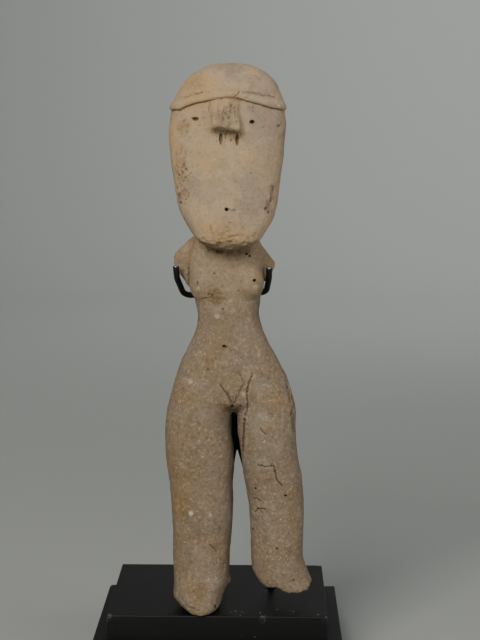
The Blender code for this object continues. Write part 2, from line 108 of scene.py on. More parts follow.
@dataclass(frozen=True)
class Unevenness:
    """Smooth random height over space, which NOISE_GAIN brings to between about -1 and 1.

    Each corner of a lattice holds a random direction. A point takes the dot product of its offset from each of
    its eight corners with that corner's direction, blended with the step 6t^5 - 15t^4 + 10t^3. Each further
    layer is twice as fine and half as strong.
    """

    seed: int
    size: float
    layers: int = 1

    def at(self, points: Array) -> Array:
        """Give the height at each point.

        Args:
            points: (n, 3) points.

        Returns:
            (n,) heights.
        """
        total, strength = np.zeros(len(points)), 1.0
        for layer in range(self.layers):
            total += strength * self._layer(points * (2**layer / self.size), self.seed + layer)
            strength /= 2
        return NOISE_GAIN * total

    @staticmethod
    def _layer(points: Array, seed: int) -> Array:
        """Give one layer of the noise, with lattice corners one unit apart.

        Args:
            points: (n, 3) points.
            seed: what the corners' directions are drawn from.

        Returns:
            (n,) heights.
        """
        draw = np.random.default_rng(seed)
        order = draw.permutation(256)
        directions = draw.normal(size=(256, 3))
        directions /= np.linalg.norm(directions, axis=1, keepdims=True)
        cell = np.floor(points).astype(int)
        offset = points - cell
        fade = offset**3 * (offset * (offset * 6 - 15) + 10)
        total = np.zeros(len(points))
        for corner in np.ndindex(2, 2, 2):
            key = np.zeros(len(points), int)
            for axis in range(3):
                key = order[(key + cell[:, axis] + corner[axis]) & 255]
            weight = np.prod(np.where(np.array(corner) == 1, fade, 1 - fade), axis=1)
            total += weight * np.einsum("ij,ij->i", directions[key], offset - np.array(corner))
        return total


@dataclass(frozen=True)
class Stand:
    """Where the figure stands: the metres in one of its units, and the point from which it is measured."""

    unit: float
    origin: tuple[float, float, float]

    def metres(self, points: Array) -> Array:
        """Give points of the figure in the frame."""
        return points * self.unit + np.array(self.origin)

    def units(self, points: Array) -> Array:
        """Give points of the frame in the figure's units."""
        return (points - np.array(self.origin)) / self.unit


@dataclass
class Shell:
    """One closed surface: its (n, 3) points and its faces."""

    points: Array
    faces: list[list[int]]

    def placed(self, stand: Stand) -> "Shell":
        """Give the shell in the frame, where its points are in the figure's units."""
        return Shell(stand.metres(self.points), self.faces)


def ring_shell(rings: Array, closed: bool = False) -> Shell:
    """Join rings of points into a closed surface.

    Face (i, j) joins points j and j + 1 of ring i to those of ring i + 1. Open ends are closed by one face each.

    Args:
        rings: (rings, around, 3) grid of points.
        closed: whether the last ring joins the first.

    Returns:
        The surface.
    """
    count, around = rings.shape[:2]
    i = np.arange(count if closed else count - 1)[:, None] * around
    j = np.arange(around)[None, :]
    k = (j + 1) % around
    above = (i + around) % (count * around)
    faces = np.stack([i + j, i + k, above + k, above + j], axis=-1).reshape(-1, 4).tolist()
    if not closed:
        faces.append(list(range(around))[::-1])
        faces.append(list(range((count - 1) * around, count * around)))
    return Shell(rings.reshape(-1, 3), faces)


def mesh_object(name: str, shells: list[Shell], outward: bool = True) -> bpy.types.Object:
    """Make one object of several shells.

    Args:
        name: the object's name.
        shells: surfaces in metres, in the frame.
        outward: whether to turn the faces so that they point out.

    Returns:
        The object, at the origin.
    """
    points = np.concatenate([shell.points for shell in shells])
    faces: list[list[int]] = []
    start = 0
    for shell in shells:
        faces += [[start + corner for corner in face] for face in shell.faces]
        start += len(shell.points)
    mesh = bpy.data.meshes.new(name)
    mesh.from_pydata(points.tolist(), [], faces)
    if outward:
        work = bmesh.new()
        work.from_mesh(mesh)
        bmesh.ops.recalc_face_normals(work, faces=work.faces)
        work.to_mesh(mesh)
        work.free()
    mesh.shade_smooth()
    made = bpy.data.objects.new(name, mesh)
    bpy.context.scene.collection.objects.link(made)
    return made


def vertex_places(obj: bpy.types.Object) -> Array:
    """Give the (n, 3) places of an object's vertices."""
    places = np.empty(len(obj.data.vertices) * 3)
    obj.data.vertices.foreach_get("co", places)
    return places.reshape(-1, 3)


def edge_ends(obj: bpy.types.Object) -> NDArray[np.int64]:
    """Give the (n, 2) numbers of the vertices that each edge joins."""
    ends = np.empty(len(obj.data.edges) * 2, int)
    obj.data.edges.foreach_get("vertices", ends)
    return ends.reshape(-1, 2)


def store_mark(obj: bpy.types.Object, name: str, values: Array) -> None:
    """Store a value for each vertex, which a material reads by its name."""
    layer = obj.data.attributes.new(name, "FLOAT", "POINT")
    layer.data.foreach_set("value", values.astype(np.float32))


def settle(obj: bpy.types.Object) -> None:
    """Apply an object's modifiers to its mesh.

    Args:
        obj: the object, which keeps the mesh that its modifiers give.
    """
    bpy.context.view_layer.update()
    seen = obj.evaluated_get(bpy.context.evaluated_depsgraph_get())
    old = obj.data
    obj.data = bpy.data.meshes.new_from_object(seen)
    obj.data.name = obj.name
    obj.modifiers.clear()
    bpy.data.meshes.remove(old)


def cut_with(obj: bpy.types.Object, tool: bpy.types.Object) -> None:
    """Subtract a tool from an object and delete the tool.

    Args:
        obj: what is cut.
        tool: what is cut away.
    """
    cut = obj.modifiers.new("cut", "BOOLEAN")
    cut.operation = "DIFFERENCE"
    cut.solver = "EXACT"
    cut.object = tool
    settle(obj)
    bpy.data.objects.remove(tool, do_unlink=True)


class Wire:
    """One shader socket, on which plain arithmetic adds Math nodes."""

    def __init__(self, graph: "Graph", socket: bpy.types.NodeSocket) -> None:
        """Wrap a socket of a graph."""
        self.graph = graph
        self.socket = socket

    def _math(self, operation: str, first: "Wire | float", second: "Wire | float") -> "Wire":
        """Add one Math node."""
        return self.graph.add("ShaderNodeMath", {"operation": operation}, {0: first, 1: second})

    def __add__(self, other: "Wire | float") -> "Wire":
        """Add a value."""
        return self._math("ADD", self, other)

    def __sub__(self, other: "Wire | float") -> "Wire":
        """Subtract a value."""
        return self._math("SUBTRACT", self, other)

    def __rsub__(self, other: float) -> "Wire":
        """Subtract this from a value."""
        return self._math("SUBTRACT", other, self)

    def __mul__(self, other: "Wire | float") -> "Wire":
        """Multiply by a value."""
        return self._math("MULTIPLY", self, other)

    __radd__ = __add__
    __rmul__ = __mul__

    def above(self, low: float, high: float) -> "Wire":
        """Rise smoothly from 0 at low to 1 at high."""
        settings = {"interpolation_type": "SMOOTHSTEP"}
        return self.graph.add("ShaderNodeMapRange", settings, {0: self, 1: low, 2: high, 3: 0.0, 4: 1.0})

    def below(self, low: float, high: float) -> "Wire":
        """Fall smoothly from 1 at low to 0 at high."""
        settings = {"interpolation_type": "SMOOTHSTEP"}
        return self.graph.add("ShaderNodeMapRange", settings, {0: self, 1: low, 2: high, 3: 1.0, 4: 0.0})


class Graph:
    """The nodes of one material, around a Principled shader."""

    def __init__(self, name: str, roughness: float, metallic: float = 0.0) -> None:
        """Start a material.

        Args:
            name: the material's name.
            roughness: its roughness where nothing else feeds it.
            metallic: how far it is bare metal.
        """
        self.material = bpy.data.materials.new(name)
        self.material.use_nodes = True
        self.tree = self.material.node_tree
        self.shader = self.tree.nodes["Principled BSDF"]
        self.shader.inputs["Roughness"].default_value = roughness
        self.shader.inputs["Metallic"].default_value = metallic
        self.place = self.add("ShaderNodeTexCoord", output="Object")

    def add(
        self, kind: str, settings: dict | None = None, values: dict | None = None, output: int | str = 0
    ) -> Wire:
        """Add one node.

        Args:
            kind: the node's type.
            settings: its own settings, which are set first.
            values: a value or a wire for each socket.
            output: the socket to give back.

        Returns:
            The output, as a wire.
        """
        node = self.tree.nodes.new(kind)
        for key, value in (settings or {}).items():
            setattr(node, key, value)
        for key, value in (values or {}).items():
            if isinstance(value, Wire):
                self.tree.links.new(value.socket, node.inputs[key])
            else:
                node.inputs[key].default_value = value
        return Wire(self, node.outputs[output])

    def noise(self, size: float, detail: float = 3.0, roughness: float = 0.55, seed: float = 0.0) -> Wire:
        """Give cloudy noise, between 0 and 1.

        Args:
            size: width of its clouds, in metres.
            detail: how many finer layers it has.
            roughness: how strong the finer layers are.
            seed: shift that makes it differ from other noise.

        Returns:
            The noise, as a wire.
        """
        place = self.add("ShaderNodeVectorMath", {"operation": "ADD"}, {0: self.place, 1: (seed, seed, seed)})
        values = {"Vector": place, "Scale": 1 / size, "Detail": detail, "Roughness": roughness}
        return self.add("ShaderNodeTexNoise", values=values)

    def cells(self, size: float, seed: float) -> Wire:
        """Give the distance to the nearest of scattered places, as a share of their spacing in metres."""
        place = self.add("ShaderNodeVectorMath", {"operation": "ADD"}, {0: self.place, 1: (seed, seed, seed)})
        return self.add("ShaderNodeTexVoronoi", values={"Vector": place, "Scale": 1 / size})

    def mark(self, name: str) -> Wire:
        """Read a value that is stored on the mesh."""
        return self.add("ShaderNodeAttribute", {"attribute_name": name}, output="Fac")

    def blend(self, share: Wire | float, first: Wire | Colour, second: Wire | Colour) -> Wire:
        """Mix two colours, which are the Mix node's sockets 6 and 7, and its output 2.

        Args:
            share: how much there is of the second, kept between 0 and 1.
            first: the first colour.
            second: the second colour.

        Returns:
            The mixed colour, as a wire.
        """
        ends = [end if isinstance(end, Wire) else (*end, 1.0) for end in (first, second)]
        settings = {"data_type": "RGBA", "clamp_factor": True}
        return self.add("ShaderNodeMix", settings, {0: share, 6: ends[0], 7: ends[1]}, output=2)

    def feed(self, name: str, value: Wire) -> None:
        """Feed one of the shader's sockets."""
        self.tree.links.new(value.socket, self.shader.inputs[name])

    def raise_by(self, height: Wire, strength: float, distance: float) -> None:
        """Feed the shader's normal with a bump of a height."""
        values = {"Strength": strength, "Distance": distance, "Height": height}
        self.feed("Normal", self.add("ShaderNodeBump", values=values))


@dataclass(frozen=True)
class WeatheredClay:
    """Low-fired clay: warm on the head, greyer on the body, with ochre stains and grit. Its colours also hold
    painted light: dirt with painted shade in the hollows and under overhangs, grey painted shade on the figure's
    right and a warm painted glow on its lit left.
    """

    head: Colour = (0.432, 0.312, 0.19)
    # The warm tints also paint a warm glow where the key light falls on the left of the head.
    head_warm_and_glow: Colour = (0.45, 0.298, 0.152)
    # The grey tints also paint the shade on the figure's right, away from the key light.
    head_grey_and_shade: Colour = (0.31, 0.236, 0.163)
    body: Colour = (0.217, 0.159, 0.103)
    body_warm: Colour = (0.23, 0.154, 0.084)
    body_grey_and_shade: Colour = (0.235, 0.192, 0.14)
    # This sooty grey also paints shade under the right breast.
    smoke: Colour = (0.175, 0.138, 0.10)
    ochre: Colour = (0.235, 0.15, 0.066)
    # This dark brown is dirt, and also painted shade: in hollows, on undersides and under the chin, nose and lip.
    soil: Colour = (0.038, 0.024, 0.013)
    chalk: Colour = (0.52, 0.43, 0.30)
    dark_grit: Colour = (0.10, 0.068, 0.04)
    cloud_size: float = 0.019
    patch_size: float = 0.0085
    blotch_size: float = 0.0034
    fine_size: float = 0.0013
    powder_size: float = 0.0005
    pale_grit_spacing: float = 0.0011
    dark_grit_spacing: float = 0.0024
    roughness: float = 0.84
    roughness_spread: float = 0.14
    relief: float = 0.0004
    shine: float = 0.2

    def material(self) -> bpy.types.Material:
        """Build the material: clouds with a warm painted glow and grey painted shade, then sooty grey with some
        painted shade, and ochre, then mottling, then grit, then chalk, then dirt with painted shade.
        """
        g = Graph("weathered_clay", self.roughness)
        cloud = g.noise(self.cloud_size, detail=4.0)
        patch = g.noise(self.patch_size, detail=5.0, roughness=0.6, seed=3.1)
        blotch = g.noise(self.blotch_size, detail=4.0, roughness=0.65, seed=5.3)
        fine = g.noise(self.fine_size, detail=4.0, roughness=0.75, seed=7.7)
        powder = g.noise(self.powder_size, detail=2.0, roughness=0.6, seed=1.9)
        body = g.mark("body")
        warm = g.blend(body, self.head_warm_and_glow, self.body_warm)
        cool = g.blend(body, self.head_grey_and_shade, self.body_grey_and_shade)
        colour = g.blend(body, self.head, self.body)
        # Warm tint: partly random, partly a painted warm glow on the lit left of the head.
        colour = g.blend(g.mark("warm") + cloud.below(0.38, 0.5) * 0.6, colour, warm)
        # Grey tint: partly random, partly painted shade on the figure's right.
        colour = g.blend(g.mark("cool") * 0.8 + cloud.above(0.5, 0.64) * 0.65, colour, cool)
        colour = g.blend(patch.above(0.5, 0.7) * (0.12 + body * 0.26), colour, self.smoke)
        # Sooty grey patches, one of them painted shade under the right breast.
        colour = g.blend(g.mark("smoke"), colour, self.smoke)
        stain = g.mark("ochre") * (0.25 + fine.above(0.35, 0.65)) + patch.below(0.30, 0.44) * 0.22
        colour = g.blend(stain, colour, self.ochre)
        colour = g.blend(blotch.above(0.5, 0.72) * (0.15 + body * 0.05), colour, self.soil)
        colour = g.blend(blotch.below(0.28, 0.46) * (0.12 + body * 0.05), colour, self.chalk)
        colour = g.blend(fine.above(0.5, 0.7) * (0.26 + body * 0.1), colour, self.soil)
        colour = g.blend(fine.below(0.28, 0.46) * (0.24 + body * 0.24), colour, self.chalk)
        ragged = fine * 0.5 - 0.25
        pale = (g.cells(self.pale_grit_spacing, seed=0.3) + ragged).below(0.06, 0.24)
        pale = pale * (patch.above(0.38, 0.58) + g.mark("grit"))
        colour = g.blend(pale * (0.2 + body * 0.34), colour, self.chalk)
        dark = (g.cells(self.dark_grit_spacing, seed=0.9) + ragged).below(0.02, 0.16) * cloud.above(0.40, 0.55)
        colour = g.blend(dark * 0.45, colour, self.dark_grit)
        colour = g.blend(g.mark("chalk"), colour, self.chalk)
        # Dirt and painted shade: hollows, undersides, and the shadows under the chin, nose, lip and right breast.
        colour = g.blend(g.mark("soil"), colour, self.soil)
        g.feed("Base Color", colour)
        g.feed("Roughness", self.roughness + fine * self.roughness_spread)
        height = fine + powder * 0.4 + blotch * 0.8 + pale * 0.3 - dark * 0.5
        g.raise_by(height, strength=0.6, distance=self.relief)
        g.shader.inputs["Specular IOR Level"].default_value = self.shine
        return g.material


@dataclass(frozen=True)
class SatinLacquer:
    """Black satin lacquer, with dust on it and rubbed through along edges."""

    lacquer: Colour = (0.0016, 0.0016, 0.0019)
    rubbed: Colour = (0.09, 0.082, 0.07)
    dust: Colour = (0.21, 0.18, 0.14)
    cloud_size: float = 0.018
    fine_size: float = 0.0011
    speck_spacing: float = 0.0042
    ripple_size: float = 0.0035
    roughness: float = 0.47
    shine: float = 0.31

    def material(self) -> bpy.types.Material:
        """Build the material: a film of dust, then wear along the edges, then specks of dust."""
        g = Graph("satin_lacquer", self.roughness)
        cloud = g.noise(self.cloud_size, detail=3.0)
        fine = g.noise(self.fine_size, detail=3.0, roughness=0.65, seed=2.3)
        specks = g.cells(self.speck_spacing, seed=1.7).below(0.035, 0.07) * cloud.above(0.44, 0.6)
        film = cloud.above(0.35, 0.75) * fine.above(0.42, 0.7)
        worn = g.mark("worn") * fine.above(0.44, 0.58)
        colour = g.blend(film * 0.012, self.lacquer, self.dust)
        colour = g.blend(worn * 0.8, colour, self.rubbed)
        colour = g.blend(specks * 0.8, colour, self.dust)
        g.feed("Base Color", colour)
        g.feed("Roughness", self.roughness + fine * 0.12 + worn * 0.25 + specks * 0.3)
        ripple = g.noise(self.ripple_size, detail=2.0, seed=5.0)
        g.raise_by(ripple + specks, strength=0.12, distance=0.0002)
        g.shader.inputs["Specular IOR Level"].default_value = self.shine
        return g.material


@dataclass(frozen=True)
class CoatedRod:
    """Black coating on the bent rods, dull where the bender and the figure rubbed it."""

    coat: Colour = (0.005, 0.005, 0.0055)
    rubbed: Colour = (0.06, 0.052, 0.045)
    fine_size: float = 0.0014
    streak_size: float = 0.006
    roughness: float = 0.34
    shine: float = 0.3

    def material(self) -> bpy.types.Material:
        """Build the material."""
        g = Graph("coated_rod", self.roughness)
        fine = g.noise(self.fine_size, detail=3.0, roughness=0.7)
        streak = g.noise(self.streak_size, detail=2.0, seed=4.0)
        rub = streak.above(0.56, 0.7) * fine.above(0.5, 0.66)
        g.feed("Base Color", g.blend(rub * 0.7, self.coat, self.rubbed))
        g.feed("Roughness", self.roughness + fine * 0.18 + rub * 0.2)
        g.raise_by(fine, strength=0.18, distance=0.0001)
        g.shader.inputs["Specular IOR Level"].default_value = self.shine
        return g.material


@dataclass(frozen=True)
class BareSteel:
    """Bright steel where the rod was cut."""

    steel: Colour = (0.72, 0.69, 0.64)
    dull: Colour = (0.30, 0.27, 0.24)
    fine_size: float = 0.0005
    roughness: float = 0.3

    def material(self) -> bpy.types.Material:
        """Build the material."""
        g = Graph("bare_steel", self.roughness, metallic=1.0)
        fine = g.noise(self.fine_size, detail=2.0)
        g.feed("Base Color", g.blend(fine.above(0.45, 0.7), self.steel, self.dull))
        g.feed("Roughness", self.roughness + fine * 0.25)
        g.raise_by(fine, strength=0.2, distance=0.0001)
        return g.material


@dataclass(frozen=True)
class Section:
    """A level cut through the clay: middle, half width, depth ahead and behind, squareness of its front."""

    height: float
    x: float
    y: float
    half_width: float
    front: float
    back: float
    squareness: float = 2.0


@dataclass(frozen=True)
class Loft:
    """A closed body through level cuts, whose two ends round off."""

    sections: tuple[Section, ...]
    bottom_dome: float
    top_dome: float
    top_squareness: float = 2.0
    around: int = 96
    spacing: float = 0.9
    dome_rings: int = 10

    def rows(self, heights: Array) -> Array:
        """Give the cut at each height.

        Between two cuts each measure follows a cubic with central slopes. Over a dome the width and the depths
        are multiplied by (1 - t^n)^(1/n), with t the share of the way into the dome.

        Args:
            heights: (n,) heights.

        Returns:
            (n, 6) rows of x, y, half width, front, back and squareness.
        """
        keys = ("height", "x", "y", "half_width", "front", "back", "squareness")
        table = np.array([[getattr(cut, key) for key in keys] for cut in self.sections])
        knots, values = table[:, 0], table[:, 1:]
        slopes = np.gradient(values, knots, axis=0)
        span = np.clip(np.searchsorted(knots, heights, side="right") - 1, 0, len(knots) - 2)
        step = (knots[span + 1] - knots[span])[:, None]
        t = (heights - knots[span])[:, None] / step
        start = (1 + 2 * t) * (1 - t) ** 2 * values[span] + t * (1 - t) ** 2 * step * slopes[span]
        end = t**2 * (3 - 2 * t) * values[span + 1] - t**2 * (1 - t) * step * slopes[span + 1]
        rows = start + end
        into_bottom = np.clip((knots[0] + self.bottom_dome - heights) / self.bottom_dome, 0, 1)
        into_top = np.clip((heights - knots[-1] + self.top_dome) / self.top_dome, 0, 1)
        share = np.sqrt(1 - into_bottom**2)
        share = share * (1 - into_top**self.top_squareness) ** (1 / self.top_squareness)
        rows[:, 2:5] *= share[:, None]
        return rows

    def ring_points(self, heights: Array, angles: Array) -> tuple[Array, Array]:
        """Give points on the body and the level directions straight out of it.

        A cut is a superellipse: x = half_width * cos^(2/n) and y = depth * sin^(2/n), with n its squareness.

        Args:
            heights: (rings,) heights.
            angles: (around,) angles, 0 at +x and a quarter turn at the back.

        Returns:
            (rings, around, 3) points and (rings, around, 3) directions.
        """
        x, y, half_width, front, back, squareness = self.rows(heights).T[:, :, None]
        across, along = np.cos(angles)[None, :], np.sin(angles)[None, :]
        depth = np.where(along < 0, front, back)
        power = 2 / np.where(along < 0, squareness, BACK_SQUARENESS)
        points = np.stack(
            [
                x + half_width * np.sign(across) * np.abs(across) ** power,
                y + depth * np.sign(along) * np.abs(along) ** power,
                np.broadcast_to(heights[:, None], depth.shape),
            ],
            axis=-1,
        )
        out = np.stack([across * depth, along * half_width, np.zeros_like(depth)], axis=-1)
        return points, out / np.maximum(np.linalg.norm(out, axis=-1, keepdims=True), 1e-9)

    def shell(self) -> Shell:
        """Give the body's surface, with rings evenly spaced on its sides and by equal angles on its domes.

        Returns:
            The closed surface.
        """
        low, high = self.sections[0].height, self.sections[-1].height
        rise = 1 - np.cos(np.linspace(DOME_FIRST_ANGLE, math.pi / 2, self.dome_rings))
        bottom, top = low + self.bottom_dome * rise, high - self.top_dome * rise[::-1]
        count = max(3, round((top[0] - bottom[-1]) / self.spacing))
        heights = np.concatenate([bottom[:-1], np.linspace(bottom[-1], top[0], count), top[1:]])
        angles = np.linspace(0, 2 * math.pi, self.around, endpoint=False)
        return ring_shell(self.ring_points(heights, angles)[0])

    def front_at(self, x: float, height: float) -> float:
        """Give y of the front surface, y = middle - front * (1 - t^n)^(1/n), with t the share of the half width.

        Args:
            x: the place's x.
            height: its height.

        Returns:
            The surface's y there.
        """
        middle_x, middle_y, half_width, front, _, squareness = self.rows(np.array([height]))[0]
        share = min(abs(x - middle_x) / half_width, 1)
        return middle_y - front * (1 - share**squareness) ** (1 / squareness)


@dataclass(frozen=True)
class Lump:
    """A rounded lump of clay: an ellipsoid with a middle and three radii."""

    x: float
    y: float
    z: float
    radius_x: float
    radius_y: float
    radius_z: float

    def shell(self, rings: int = 20, around: int = 36) -> Shell:
        """Give its surface: a point at latitude a and longitude b is the middle plus radii times the sphere's.

        Args:
            rings: how many rings of points lie between its poles.
            around: how many points a ring has.

        Returns:
            The closed surface.
        """
        pole = math.pi / 2 - BALL_POLE_ANGLE
        latitude = np.linspace(-pole, pole, rings)[:, None]
        longitude = np.linspace(0, 2 * math.pi, around, endpoint=False)[None, :]
        ball = np.stack(
            [
                np.cos(latitude) * np.cos(longitude),
                np.cos(latitude) * np.sin(longitude),
                np.broadcast_to(np.sin(latitude), (rings, around)),
            ],
            axis=-1,
        )
        return ring_shell(np.array([self.x, self.y, self.z]) + ball * [self.radius_x, self.radius_y, self.radius_z])


@dataclass
class ClaySkin:
    """The figure's fine surface while it is worked: points in figure units, and what colours them."""

    points: Array
    normals: Array
    marks: dict[str, Array] = field(default_factory=dict)

    @property
    def front(self) -> Array:
        """How far each point faces the viewer, from 0 to 1."""
        return smooth_step(0.12, 0.5, -self.normals[:, 1])

    @property
    def seen_from_front(self) -> Array:
        """Each point's x and z."""
        return self.points[:, [0, 2]]

    def swell(self, height: Array) -> None:
        """Move each point out by a height."""
        self.points = self.points + self.normals * height[:, None]

    def push_back(self, depth: Array) -> None:
        """Move each point straight back by a depth."""
        self.points = self.points + depth[:, None] * np.array([0.0, 1.0, 0.0])

    def stain(self, name: str, share: Array) -> None:
        """Deepen one of the marks."""
        before = self.marks.get(name, np.zeros(len(self.points)))
        self.marks[name] = np.maximum(before, np.clip(share, 0, 1))


@dataclass(frozen=True)
class Hole:
    """A hole or a flake's scar in the front.

    It has a middle, a width, a height and a depth. Its lip stands out, dirt and painted shade darken its well, and
    where ring is above 0 the same darkening also follows its rim.
    """

    x: float
    z: float
    width: float
    height: float
    depth: float
    lip: float = 0.0
    soil: float = 0.9
    ring: float = 0.0

    def reach(self, places: Array) -> Array:
        """Give each place's distance from the middle, where 1 is the rim."""
        return np.hypot((places[:, 0] - self.x) * 2 / self.width, (places[:, 1] - self.z) * 2 / self.height)

    def work(self, skin: ClaySkin, rough: Array) -> None:
        """Push it in: its depth falls from full at 0.55 of the radius to none just past the rim.

        The lip stands out by exp(-((reach - 1.3) / 0.28)^2), and the ring is exp(-((reach - 0.95) / 0.16)^2).

        Args:
            skin: the surface.
            rough: (n,) noise that breaks up the rim.
        """
        reach = self.reach(skin.seen_from_front) * (1 + 0.12 * rough)
        well = (1 - smooth_step(0.55, 1.08, reach)) * skin.front
        rim = np.exp(-(((reach - 1.3) / 0.28) ** 2)) * skin.front
        skin.stain("soil", self.soil * (1 - smooth_step(0.5, 1.15, reach)) * skin.front)
        if self.ring:
            skin.stain("soil", self.ring * np.exp(-(((reach - 0.95) / 0.16) ** 2)) * skin.front)
        skin.swell(self.lip * rim)
        skin.push_back(self.depth * well)


@dataclass(frozen=True)
class Crack:
    """A crack or an incised stroke in the front, along a route of (x, z) corners.

    A negative depth makes it a ridge. Where rim is above 0, both its edges are raised and rubbed pale.
    """

    route: tuple[Place, ...]
    width: float
    depth: float
    soil: float = 0.85
    rim: float = 0.0

    def work(self, skin: ClaySkin, rough: Array) -> None:
        """Open it: the depth is full on the route and fades as exp(-(distance / half width)^2).

        A rim lies where the distance is 2.3 half widths, and fades as exp(-((distance - 2.3) / 0.8)^2).

        Args:
            skin: the surface.
            rough: (n,) noise that makes it wander and vary in width.
        """
        places = skin.seen_from_front + 0.28 * np.stack([rough, -rough], axis=1)
        half = self.width / 2 * (1 + 0.45 * rough)
        away = distance_to_route(places, self.route) / half
        share = np.exp(-(away**2)) * skin.front
        skin.stain("soil", self.soil * (0.72 + 0.4 * rough) * smooth_step(0.25, 0.85, share))
        if self.rim:
            edge = np.exp(-(((away - 2.3) / 0.8) ** 2)) * skin.front
            skin.stain("chalk", self.rim * edge * (0.6 + 0.8 * rough))
            skin.swell(0.12 * edge)
        skin.push_back(self.depth * share)


@dataclass(frozen=True)
class Patch:
    """A region of the clay, as an ellipsoid, that is rough or stained."""

    x: float
    y: float
    z: float
    radius_x: float
    radius_y: float
    radius_z: float

    def share(self, points: Array, ragged: Array) -> Array:
        """Give 1 inside and 0 outside, with a ragged edge."""
        offset = (points - [self.x, self.y, self.z]) / [self.radius_x, self.radius_y, self.radius_z]
        return 1 - smooth_step(0.55, 1.05, np.linalg.norm(offset, axis=1) + 0.28 * ragged)


@dataclass(frozen=True)
class RoughPatch:
    """A rough region: how high its grain stands, how coarse it is, and how it is drawn out (below 1) on x and z."""

    region: Patch
    height: float
    grain: float
    level: float = 1.0
    upright: float = 1.0

    def work(self, skin: ClaySkin, broad: Array) -> None:
        """Raise the grain."""
        noise = Unevenness(23, self.grain, layers=3).at(skin.points * [self.level, 1.0, self.upright])
        skin.swell(self.height * self.region.share(skin.points, broad) * noise)


